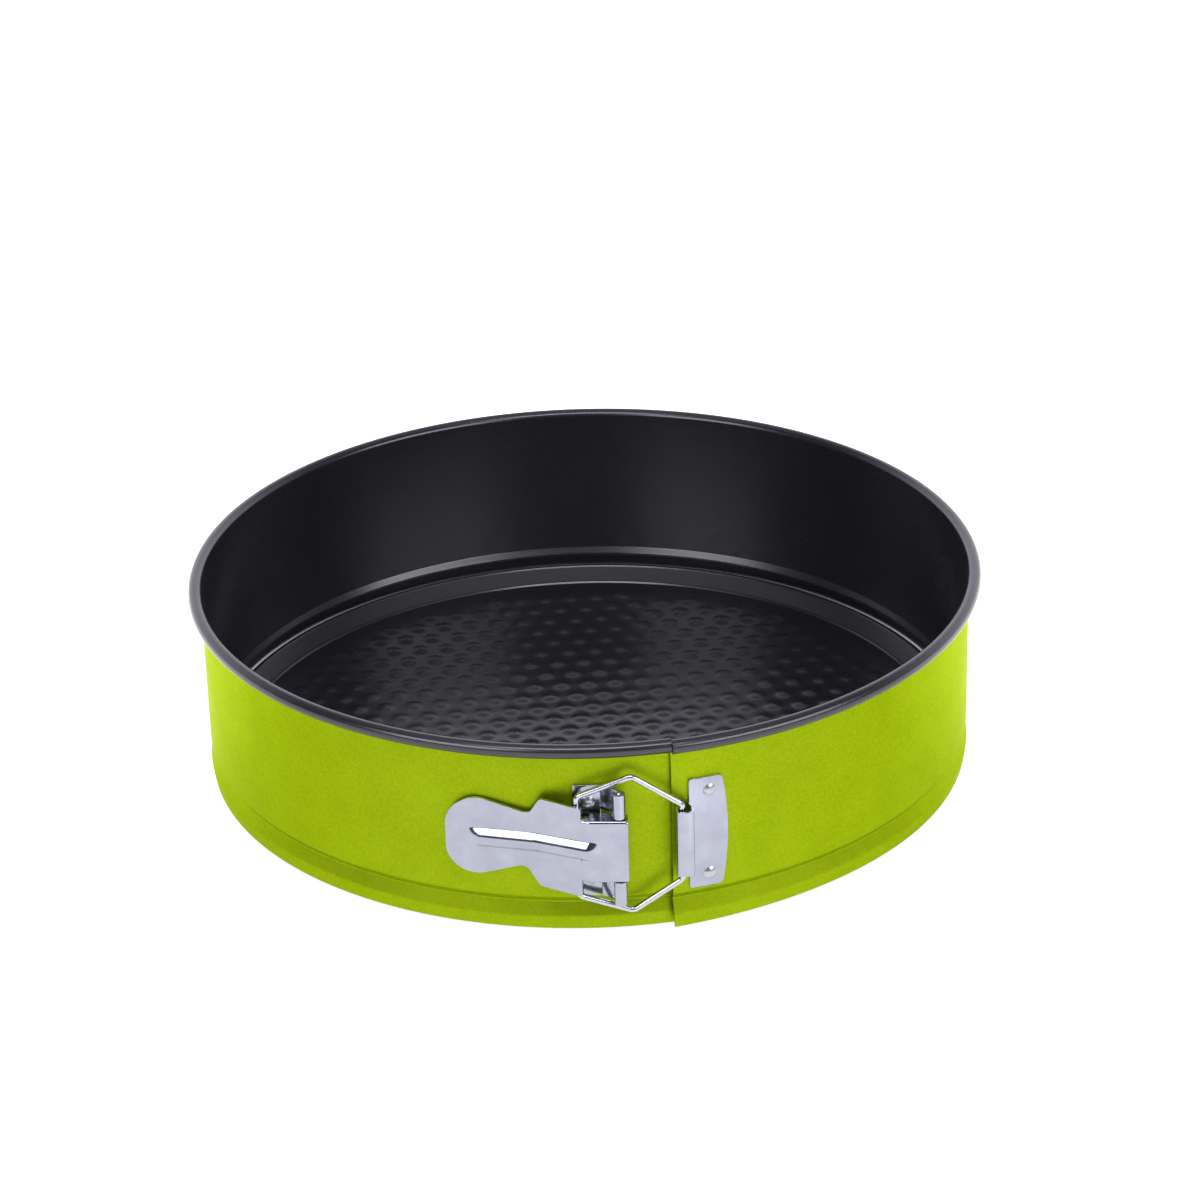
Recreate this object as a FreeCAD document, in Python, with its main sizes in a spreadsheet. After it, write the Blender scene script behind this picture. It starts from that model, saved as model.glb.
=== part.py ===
"""Springform pan, 26 cm: a dimpled base plate, a sprung band and an over-centre latch.

Frame: the pan's axis is Z with +Z up, the table is z = 0 and the latch faces -Y.
Angles round the pan are counted from -Y, positive towards +X.
"""
import FreeCAD, Part
import math
import os
import Sketcher
from FreeCAD import Placement, Rotation, Vector

doc = FreeCAD.newDocument("springform_pan")

# ---------------------------------------------------------------- driving dimensions
SIZES = [
    # the band: one strip of sheet, plain wall, locating groove and rolled rim
    ("wall_radius", 130.0, "outside of the plain wall"),
    ("wall_gauge", 0.6, "sheet thickness of the band"),
    ("pan_height", 67.0, "table to the top of the rolled rim"),
    ("rim_tube_radius", 2.3, "outside radius of the rolled rim's tube"),
    ("rim_wrap", 130.0, "how far past the outermost point the roll curls, degrees"),
    ("band_foot", 0.3, "height of the band's lower edge above the table"),
    ("groove_low", 7.6, "lower edge of the groove pressed into the wall"),
    ("groove_high", 12.2, "upper edge of the groove"),
    ("groove_floor_low", 9.2, "lower end of the groove's deepest part"),
    ("groove_floor_high", 10.6, "upper end of the groove's deepest part"),
    ("groove_depth", 1.5, "how deep the groove is pressed in"),
    ("split_angle", 0.15, "gap between the two halves at the back, degrees"),
    # the overlap: the outer end of the band laps over the inner end
    ("flap_growth", 7.6, "extra radius of the outer flap, which springs off the wall"),
    ("flap_root_angle", 50.0, "where the flap leaves the round, degrees"),
    ("flap_angle", 37.0, "length of the flap about its own centre, degrees"),
    ("inner_rim_angle", 10.8, "end of the inner end's rolled rim, degrees"),
    ("inner_end_angle", 15.0, "end of the inner end under the flap, degrees"),
    ("inner_end_drop", 6.2, "how far the inner end stops below the rim's top"),
    # the base plate
    ("base_gauge", 0.7, "sheet thickness of the base"),
    ("base_rim_clearance", 0.3, "base rim to the inside of the wall"),
    ("base_rim_lip", 1.1, "width of the flat lip round the base"),
    ("base_rim_height", 4.6, "top of the lip above the table"),
    ("base_slope_width", 6.0, "width of the sloping step inside the lip"),
    # the latch, all measured from the pan's axis and the latch's own mid height
    ("latch_height", 32.6, "mid height of the latch"),
    ("pivot_x", 8.6, "hinge pin, across"),
    ("pivot_standoff", 6.97, "hinge pin, out from the wall"),
    ("pin_radius", 1.1, "hinge pin"),
    ("pin_overhang", 0.4, "pin past each end of the knuckles"),
    ("pin_clearance", 0.05, "pin in its knuckles and ears"),
    ("knuckle_radius", 2.1, "outside of the rolled knuckles"),
    ("knuckle_inner_half", 11.3, "half the gap between the knuckles"),
    ("bracket_half", 19.7, "half height of the hinge bracket"),
    ("bracket_gauge", 0.9, "sheet thickness of the bracket"),
    ("bracket_left_angle", -2.5, "left edge of the bracket, degrees"),
    ("bracket_right_angle", 1.3, "where the bracket leaves the wall, degrees"),
    ("bracket_arm_left", 1.9, "left end of the rising arm, across"),
    ("bracket_arm_spread", 0.27, "how much wider than the sheet the arm leaves the wall"),
    ("bracket_arm_inset", 1.05, "arm's inner side, left of the pin's centre"),
    ("wire_radius", 1.0, "bail wire"),
    ("bail_pivot_x", -4.7, "bail's pivot in the lever, across"),
    ("bail_pivot_standoff", 4.28, "bail's pivot, out from the wall"),
    ("catch_bar_x", 28.3, "bail's hook bar, across"),
    ("catch_bar_standoff", 5.98, "bail's hook bar, out from the wall"),
    ("bail_end_half", 9.0, "half the gap between the bail's turned-in ends"),
    ("bail_shoulder_half", 17.6, "half height of the bail at its pivot"),
    ("bail_apex_reach", 17.3, "pivot to the bail's widest point"),
    ("bail_apex_half", 23.9, "half height of the bail at its widest"),
    ("bail_hook_half", 13.3, "half height of the bail at its hook bar"),
    ("bail_bend", 2.6, "bend radius on the wire's middle line"),
    # the lever
    ("lever_gauge", 1.0, "sheet thickness of the lever"),
    ("tongue_x", 11.3, "right edge of the tongue"),
    ("tongue_standoff", 9.66, "outer face there, out from the wall"),
    ("tongue_half", 10.9, "half height of the tongue, over the ears"),
    ("ridge_x", -1.0, "bend between tongue and body"),
    ("ridge_standoff", 8.6, "outer face there"),
    ("waist_x", -18.0, "bend between body and head"),
    ("waist_standoff", 2.5, "outer face there"),
    ("head_x", -45.8, "free end of the lever"),
    ("head_standoff", 2.3, "outer face there"),
    ("bend_radius", 4.0, "bends of the lever, seen from above"),
    ("body_right_x", -3.4, "right edge of the body's wings"),
    ("body_right_half", 16.1, "half height of the body at its right edge"),
    ("shoulder_x", -17.0, "shoulder beside the waist"),
    ("shoulder_half", 15.0, "half height at the shoulder"),
    ("neck_x", -20.6, "narrowest place"),
    ("neck_half", 8.4, "half height there, before rounding"),
    ("head_top_x", -32.6, "top of the head's curve"),
    ("head_top_half", 14.2, "half height there, before rounding"),
    ("head_side_half", 9.2, "half height of the head's end, before rounding"),
    ("head_lift", 0.8, "head's middle above the latch's mid height"),
    ("head_round", 9.0, "rounding of the head"),
    ("neck_round", 3.4, "rounding of the neck"),
    ("shoulder_round", 1.6, "rounding of the shoulders"),
    ("corner_round", 0.8, "rounding of the lever's small corners"),
    ("ear_gauge", 0.9, "sheet thickness of the folded ears"),
    ("ear_left_x", -8.4, "left end of the ears"),
    ("ear_foot_standoff", 1.5, "ears' lower edge above the wall at the bail's pivot"),
    ("ear_foot_x", -2.6, "right end of that edge"),
    ("ear_wall", 1.4, "metal round the pin's hole"),
    ("slot_travel", 2.9, "play of the bail's end towards the pin"),
    ("slot_drop", 0.7, "play towards the wall"),
    ("slot_rise", 0.3, "play away from the wall"),
    ("slot_clearance", 0.15, "wire to the slot's edge"),
    ("rib_left_x", -38.4, "left end of the lever's rib"),
    ("rib_right_x", 2.1, "right end of the rib"),
    ("rib_half", 1.75, "half width of the rib"),
    ("rib_rise", 0.9, "how far the rib stands up"),
    ("rib_lift", 2.4, "rib's middle above the latch's mid height"),
    # the catch plate on the flap, angles about the flap's own centre
    ("catch_gauge", 1.0, "sheet thickness of the catch plate"),
    ("catch_left_angle", 15.2, "left edge, degrees"),
    ("catch_right_angle", 21.0, "right edge at mid height, degrees"),
    ("catch_bow", 2.6, "how far the right edge's corners fall back"),
    ("catch_bow_radius", 120.0, "rounding of the right edge at mid height"),
    ("catch_half", 19.6, "half height of the plate"),
    ("curl_half", 11.4, "half height of the curled tab"),
    ("curl_radius", 2.5, "outside of the curl"),
    ("curl_wall", 0.85, "sheet thickness of the curl"),
    ("curl_play", 0.5, "bar pulled off the curl's centre"),
    ("tab_root_inset", 0.2, "tab's inner side where it leaves the plate"),
    ("tab_end_inset", 0.085, "tab's inner side where it meets the curl"),
    ("trim_margin", 3.0, "how far the edge's cut reaches past the plate"),
    # rivets
    ("rivet_shank_radius", 1.2, "shank"),
    ("rivet_head_radius", 1.7, "head"),
    ("rivet_head_rise", 0.9, "domed head"),
    ("rivet_hole_clearance", 0.03, "shank in the punched sheets"),
    ("rivet_seat_gap", 0.04, "inner head off the hollow face it is set against"),
    ("bracket_rivet_angle", -0.4, "bracket rivets, degrees"),
    ("bracket_rivet_half", 13.9, "bracket rivets, from mid height"),
    ("catch_rivet_angle", 18.0, "catch rivets, degrees about the flap's centre"),
    ("catch_rivet_half", 14.9, "catch rivets, from mid height"),
]

sheet = doc.addObject("Spreadsheet::Sheet", "sizes")
for row, (alias, value, meaning) in enumerate(SIZES, start=1):
    sheet.set(f"A{row}", alias)
    sheet.set(f"B{row}", str(value))
    sheet.set(f"C{row}", meaning)
    sheet.setAlias(f"B{row}", alias)
doc.recompute()


def radial(standoff, across):
    """Expression for the distance in front of the axis of a point off the wall."""
    return f"sqrt((sizes.wall_radius + {standoff})^2 - ({across})^2)"


PIVOT_OUT = radial("sizes.pivot_standoff", "sizes.pivot_x")
BAIL_OUT = radial("sizes.bail_pivot_standoff", "sizes.bail_pivot_x")
BAR_OUT = radial("sizes.catch_bar_standoff", "sizes.catch_bar_x")


# ---------------------------------------------------------------- drawing helpers
def bind(thing, **expressions):
    """Bind properties to expressions; a double underscore stands for a dot."""
    for path, expression in expressions.items():
        thing.setExpression(path.replace("__", "."), expression)
    return thing


def pin_point(sketch, label, across, up):
    """A construction point held at two expressions; returns its number."""
    number = sketch.addGeometry(Part.Point(Vector(1, 1, 0)), True)
    for kind, expression in (("DistanceX", across), ("DistanceY", up)):
        sketch.addConstraint(Sketcher.Constraint(kind, -1, 1, number, 1, 1.0))
        at = sketch.ConstraintCount - 1
        sketch.renameConstraint(at, f"{label}_{kind[-1].lower()}")
        sketch.setExpression(f"Constraints[{at}]", expression)
    return number


def where(sketch, number):
    """Where a pinned point lies."""
    point = sketch.Geometry[number]
    return Vector(point.X, point.Y, 0)


def draw(sketch, corners, closed=True):
    """Draw an outline through corners, each (across, up[, rounding]).

    The corners are pinned to their expressions first, so that every line and every
    rounding starts from its true place.
    """
    label = f"{sketch.Label}_{sketch.GeometryCount}"
    numbers = [pin_point(sketch, f"{label}_{i}", c[0], c[1]) for i, c in enumerate(corners)]
    doc.recompute()
    spots = [where(sketch, number) for number in numbers]
    count = len(corners)
    ends = [[spot, spot] for spot in spots]
    roundings = {}
    for i, corner in enumerate(corners):
        if len(corner) < 3:
            continue
        radius = sheet.get(corner[2].replace("sizes.", ""))
        back = (spots[i - 1] - spots[i]).normalize()
        ahead = (spots[(i + 1) % count] - spots[i]).normalize()
        half = back.getAngle(ahead) / 2
        reach = radius / math.tan(half)
        ends[i] = [spots[i] + back * reach, spots[i] + ahead * reach]
        middle = (back + ahead).normalize()
        centre = spots[i] + middle * (radius / math.sin(half))
        circle = Part.Circle(centre, Vector(0, 0, 1), radius)
        begin, finish = (circle.parameter(end) for end in ends[i])
        forwards = (finish - begin) % (2 * math.pi) < math.pi
        if not forwards:
            begin, finish = finish, begin
        roundings[i] = (Part.ArcOfCircle(circle, begin, finish), 1 if forwards else 2, radius)
    lines = {}
    for i in range(count if closed else count - 1):
        following = (i + 1) % count
        segment = Part.LineSegment(ends[i][1], ends[following][0])
        lines[i] = sketch.addGeometry(segment, False)
    for i in range(count):
        before = lines.get((i - 1) % count) if closed or i > 0 else None
        after = lines.get(i)
        if i not in roundings:
            if before is not None:
                join(sketch, before, 2, numbers[i])
            if after is not None:
                join(sketch, after, 1, numbers[i])
            continue
        shape, first, radius = roundings[i]
        arc = sketch.addGeometry(shape, False)
        sketch.addConstraint(Sketcher.Constraint("Tangent", before, 2, arc, first))
        sketch.addConstraint(Sketcher.Constraint("Tangent", after, 1, arc, 3 - first))
        for line in (before, after):
            sketch.addConstraint(Sketcher.Constraint("PointOnObject", numbers[i], 1, line))
        sketch.addConstraint(Sketcher.Constraint("Radius", arc, radius))
        sketch.setExpression(f"Constraints[{sketch.ConstraintCount - 1}]", corners[i][2])
    doc.recompute()


def join(sketch, line, end, number):
    """Hold one end of a line on a pinned point."""
    sketch.addConstraint(Sketcher.Constraint("Coincident", line, end, number, 1))


def arc_between(sketch, first, last, centre, radius):
    """An arc, counter-clockwise, from one pinned point to another."""
    middle = where(sketch, centre)
    start = where(sketch, first) - middle
    stop = where(sketch, last) - middle
    begin = math.atan2(start.y, start.x)
    end = math.atan2(stop.y, stop.x)
    circle = Part.Circle(middle, Vector(0, 0, 1), start.Length)
    arc = sketch.addGeometry(Part.ArcOfCircle(circle, begin, end), False)
    join(sketch, arc, 1, first)
    join(sketch, arc, 2, last)
    sketch.addConstraint(Sketcher.Constraint("Radius", arc, start.Length))
    sketch.setExpression(f"Constraints[{sketch.ConstraintCount - 1}]", radius)


def circle_at(sketch, label, across, up, radius):
    """A circle of a bound radius about a pinned point."""
    centre = pin_point(sketch, label, across, up)
    doc.recompute()
    circle = sketch.addGeometry(Part.Circle(where(sketch, centre), Vector(0, 0, 1), 1), False)
    sketch.addConstraint(Sketcher.Constraint("Coincident", circle, 3, centre, 1))
    sketch.addConstraint(Sketcher.Constraint("Radius", circle, 1))
    sketch.setExpression(f"Constraints[{sketch.ConstraintCount - 1}]", radius)
    doc.recompute()


def new_body(name):
    """A PartDesign body whose label is its file's name."""
    body = doc.addObject("PartDesign::Body", name)
    body.Label = name
    return body


def body_sketch(body, name, role, offset=Placement()):
    """A sketch on one of the body's own origin planes."""
    sketch = body.newObject("Sketcher::SketchObject", name)
    plane = [f for f in body.Origin.OriginFeatures if f.Role == role][0]
    sketch.AttachmentSupport = (plane, [""])
    sketch.MapMode = "FlatFace"
    sketch.AttachmentOffset = offset
    return sketch


def upright_sketch(body, name, turn):
    """A sketch on an upright plane through the axis, at an angle round the pan."""
    offset = Placement(Vector(), Rotation(Vector(0, 1, 0), 90))    # its angle is bound below
    sketch = body_sketch(body, name, "XZ_Plane", offset)
    bind(sketch, AttachmentOffset__Rotation__Angle=f"{turn} - 90")
    return sketch


def plan_sketch(body, name, height):
    """A sketch seen from above, at a height."""
    sketch = body_sketch(body, name, "XY_Plane")
    bind(sketch, AttachmentOffset__Base__z=height)
    return sketch


def revolve(body, sketch, name, angle, backwards=False):
    """Turn a sketch round its own upright axis."""
    feature = body.newObject("PartDesign::Revolution", name)
    feature.Profile = sketch
    feature.ReferenceAxis = (sketch, ["V_Axis"])
    feature.Reversed = backwards
    bind(feature, Angle=angle)
    doc.recompute()
    body.Tip = feature
    return feature


def pad(body, sketch, name, length):
    """Raise a sketch by a length."""
    feature = body.newObject("PartDesign::Pad", name)
    feature.Profile = sketch
    bind(feature, Length=length)
    doc.recompute()
    body.Tip = feature
    return feature


LEAST_CUT = 1e-6    # mm3: a pocket that takes less has missed the body


def pocket(body, sketch, name, length, backwards=False, both_ways=False):
    """Cut a sketch out of a body."""
    feature = body.newObject("PartDesign::Pocket", name)
    feature.Profile = sketch
    feature.Reversed = backwards
    feature.Midplane = both_ways
    bind(feature, Length=length)
    before = body.Shape.Volume
    doc.recompute()
    body.Tip = feature
    doc.recompute()
    if body.Shape.Volume > before - LEAST_CUT:
        raise RuntimeError(f"{name} cuts nothing")


def free_sketch(name, front=False):
    """A sketch outside any body, seen from above or from the front."""
    sketch = doc.addObject("Sketcher::SketchObject", name)
    if front:
        sketch.Placement = Placement(Vector(), Rotation(Vector(1, 0, 0), 90))
    return sketch


def extrude(sketch, name, length, direction=Vector(0, 0, 1)):
    """A solid raised from a free sketch."""
    solid = doc.addObject("Part::Extrusion", name)
    solid.Base = sketch
    solid.DirMode = "Custom"
    solid.Dir = direction
    solid.Solid = True
    solid.FaceMakerClass = "Part::FaceMakerBullseye"
    bind(solid, LengthFwd=length)
    return solid


def common(name, first, second):
    """What two solids share."""
    shared = doc.addObject("Part::Common", name)
    shared.Base = first
    shared.Tool = second
    return shared


def cut(name, first, second):
    """The first solid less the second."""
    less = doc.addObject("Part::Cut", name)
    less.Base = first
    less.Tool = second
    return less


def fuse(name, solids):
    """Several solids as one."""
    whole = doc.addObject("Part::MultiFuse", name)
    whole.Shapes = solids
    return whole


# ---------------------------------------------------------------- base plate
def make_base_plate():
    """The loose floor: a shallow dish with a sloping step and a narrow flat lip."""
    body = new_body("base_plate")
    sketch = upright_sketch(body, "base_profile", "90")
    lip_edge = "sizes.wall_radius - sizes.wall_gauge - sizes.base_rim_clearance"
    lip_root = f"{lip_edge} - sizes.base_rim_lip"
    floor_edge = f"{lip_root} - sizes.base_slope_width"
    top = "sizes.base_rim_height"
    draw(sketch, [
        ("0", "0"),
        (f"{floor_edge} + sizes.base_gauge / 2", "0"),
        (f"{lip_root} + sizes.base_gauge / 2", f"{top} - sizes.base_gauge"),
        (lip_edge, f"{top} - sizes.base_gauge"),
        (lip_edge, top),
        (lip_root, top),
        (floor_edge, "sizes.base_gauge"),
        ("0", "sizes.base_gauge"),
    ])
    revolve(body, sketch, "base_turned", "360")
    return body


# ---------------------------------------------------------------- band
def draw_wall(sketch, shift, top, rolled):
    """The band's section: wall with its pressed groove, and the rolled rim on top."""
    outer = f"sizes.wall_radius + {shift}"
    inner = f"{outer} - sizes.wall_gauge"
    deep = f"{outer} - sizes.groove_depth"
    deep_inner = f"{inner} - sizes.groove_depth"
    wall = [
        (inner, top),
        (inner, "sizes.groove_high"),
        (deep_inner, "sizes.groove_floor_high"),
        (deep_inner, "sizes.groove_floor_low"),
        (inner, "sizes.groove_low"),
        (inner, "sizes.band_foot"),
        (outer, "sizes.band_foot"),
        (outer, "sizes.groove_low"),
        (deep, "sizes.groove_floor_low"),
        (deep, "sizes.groove_floor_high"),
        (outer, "sizes.groove_high"),
        (outer, top),
    ]
    draw(sketch, wall, closed=not rolled)
    if not rolled:
        return
    numbers = [i for i in range(sketch.GeometryCount) if sketch.Geometry[i].TypeId == "Part::GeomPoint"]
    first = numbers[0]
    last = numbers[len(wall) - 1]
    middle_r = f"{inner} + sizes.rim_tube_radius"
    tube = "sizes.rim_tube_radius"
    bore = "(sizes.rim_tube_radius - sizes.wall_gauge)"
    centre = pin_point(sketch, "roll_centre", middle_r, top)
    lip = pin_point(sketch, "roll_lip", f"{middle_r} + {tube} * cos(sizes.rim_wrap)",
                    f"{top} - {tube} * sin(sizes.rim_wrap)")
    lip_inside = pin_point(sketch, "roll_lip_inside", f"{middle_r} + {bore} * cos(sizes.rim_wrap)",
                           f"{top} - {bore} * sin(sizes.rim_wrap)")
    doc.recompute()
    arc_between(sketch, lip, first, centre, tube)
    arc_between(sketch, lip_inside, last, centre, bore)
    edge = sketch.addGeometry(Part.LineSegment(where(sketch, lip), where(sketch, lip_inside)), False)
    join(sketch, edge, 1, lip)
    join(sketch, edge, 2, lip_inside)
    doc.recompute()


ROLL_HEIGHT = "sizes.pan_height - sizes.rim_tube_radius"


def make_band_left():
    """The half of the band that carries the lever; its front end runs under the flap."""
    body = new_body("band_left")
    sketch = upright_sketch(body, "left_section", "sizes.inner_rim_angle")
    draw_wall(sketch, "0", ROLL_HEIGHT, True)
    revolve(body, sketch, "left_round", "180 + sizes.inner_rim_angle - sizes.split_angle / 2", True)
    tongue = upright_sketch(body, "left_end_section", "sizes.inner_rim_angle")
    draw_wall(tongue, "0", "sizes.pan_height - sizes.inner_end_drop", False)
    revolve(body, tongue, "left_end", "sizes.inner_end_angle - sizes.inner_rim_angle")
    return body


def make_band_right():
    """The half of the band that carries the catch; its front end is the outer flap."""
    body = new_body("band_right")
    sketch = upright_sketch(body, "right_section", "sizes.flap_root_angle")
    draw_wall(sketch, "0", ROLL_HEIGHT, True)
    revolve(body, sketch, "right_round", "180 - sizes.flap_root_angle - sizes.split_angle / 2")
    flap = upright_sketch(body, "flap_section", "sizes.flap_root_angle")
    bind(flap,
         AttachmentOffset__Base__x="-sizes.flap_growth * sin(sizes.flap_root_angle)",
         AttachmentOffset__Base__z="-sizes.flap_growth * cos(sizes.flap_root_angle)")
    draw_wall(flap, "sizes.flap_growth", ROLL_HEIGHT, True)
    revolve(body, flap, "flap", "sizes.flap_angle", True)
    return body


# ---------------------------------------------------------------- hinge bracket and pin
def make_hinge_bracket():
    """A riveted foot on the wall, with two arms that end in rolled knuckles."""
    body = new_body("hinge_bracket")
    foot = upright_sketch(body, "bracket_foot_section", "sizes.bracket_left_angle")
    low = "sizes.latch_height - sizes.bracket_half"
    high = "sizes.latch_height + sizes.bracket_half"
    outer = "sizes.wall_radius + sizes.bracket_gauge"
    draw(foot, [("sizes.wall_radius", low), (outer, low), (outer, high), ("sizes.wall_radius", high)])
    revolve(body, foot, "bracket_foot", "sizes.bracket_right_angle - sizes.bracket_left_angle")
    arm = plan_sketch(body, "bracket_arm_outline", low)
    wall_out = radial("0", "sizes.bracket_arm_left")
    draw(arm, [
        ("sizes.bracket_arm_left", f"-({wall_out})"),
        ("sizes.bracket_arm_left + sizes.bracket_gauge + sizes.bracket_arm_spread", f"-({wall_out})"),
        ("sizes.pivot_x", f"-({PIVOT_OUT}) + sizes.knuckle_radius"),
        ("sizes.pivot_x - sizes.bracket_arm_inset", f"-({PIVOT_OUT}) + sizes.pin_radius"),
        ("sizes.bracket_arm_left", f"-({wall_out}) - sizes.bracket_gauge"),
    ])
    pad(body, arm, "bracket_arms", "2 * sizes.bracket_half")
    ring = plan_sketch(body, "knuckle_outline", low)
    circle_at(ring, "knuckle", "sizes.pivot_x", f"-({PIVOT_OUT})", "sizes.knuckle_radius")
    pad(body, ring, "knuckles", "2 * sizes.bracket_half")
    bore = plan_sketch(body, "pin_hole_outline", "sizes.latch_height")
    circle_at(bore, "pin_hole", "sizes.pivot_x", f"-({PIVOT_OUT})",
              "sizes.pin_radius + sizes.pin_clearance")
    pocket(body, bore, "pin_hole", "3 * sizes.bracket_half", both_ways=True)
    window = body_sketch(body, "bracket_window_outline", "XZ_Plane")
    left = "sizes.bracket_arm_left + sizes.bracket_gauge + sizes.bracket_arm_spread"
    right = "sizes.pivot_x + 2 * sizes.knuckle_radius"
    bottom = "sizes.latch_height - sizes.knuckle_inner_half"
    top = "sizes.latch_height + sizes.knuckle_inner_half"
    draw(window, [(left, bottom), (right, bottom), (right, top), (left, top)])
    pocket(body, window, "bracket_window", "2 * sizes.wall_radius", backwards=True)
    return body


def make_hinge_pin():
    """The straight pin through the bracket's knuckles and the lever's ears."""
    pin = doc.addObject("Part::Cylinder", "hinge_pin")
    pin.Label = "hinge_pin"
    bind(pin,
         Radius="sizes.pin_radius",
         Height="2 * (sizes.bracket_half + sizes.pin_overhang)",
         Placement__Base__x="sizes.pivot_x",
         Placement__Base__y=f"-({PIVOT_OUT})",
         Placement__Base__z="sizes.latch_height - sizes.bracket_half - sizes.pin_overhang")
    return pin


# ---------------------------------------------------------------- lever
def lever_strip(name, outward, inward):
    """The lever's bent section seen from above, between two offsets of its outer face."""
    sketch = free_sketch(name)
    stations = [
        ("sizes.tongue_x", "sizes.tongue_standoff", None),
        ("sizes.ridge_x", "sizes.ridge_standoff", "sizes.bend_radius"),
        ("sizes.waist_x", "sizes.waist_standoff", "sizes.bend_radius"),
        ("sizes.head_x", "sizes.head_standoff", None),
    ]

    def side(offset):
        corners = []
        for across, standoff, bend in stations:
            corner = (across, f"-({radial(standoff, across)}) {offset}")
            corners.append(corner + (bend,) if bend else corner)
        return corners

    draw(sketch, side(outward) + side(inward)[::-1])
    return sketch


def lever_mid(across):
    """Mid height of the lever at a place along it: the head sits a little high."""
    lifted = across in ("sizes.head_top_x", "sizes.head_x")
    return "sizes.latch_height + sizes.head_lift" if lifted else "sizes.latch_height"


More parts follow.
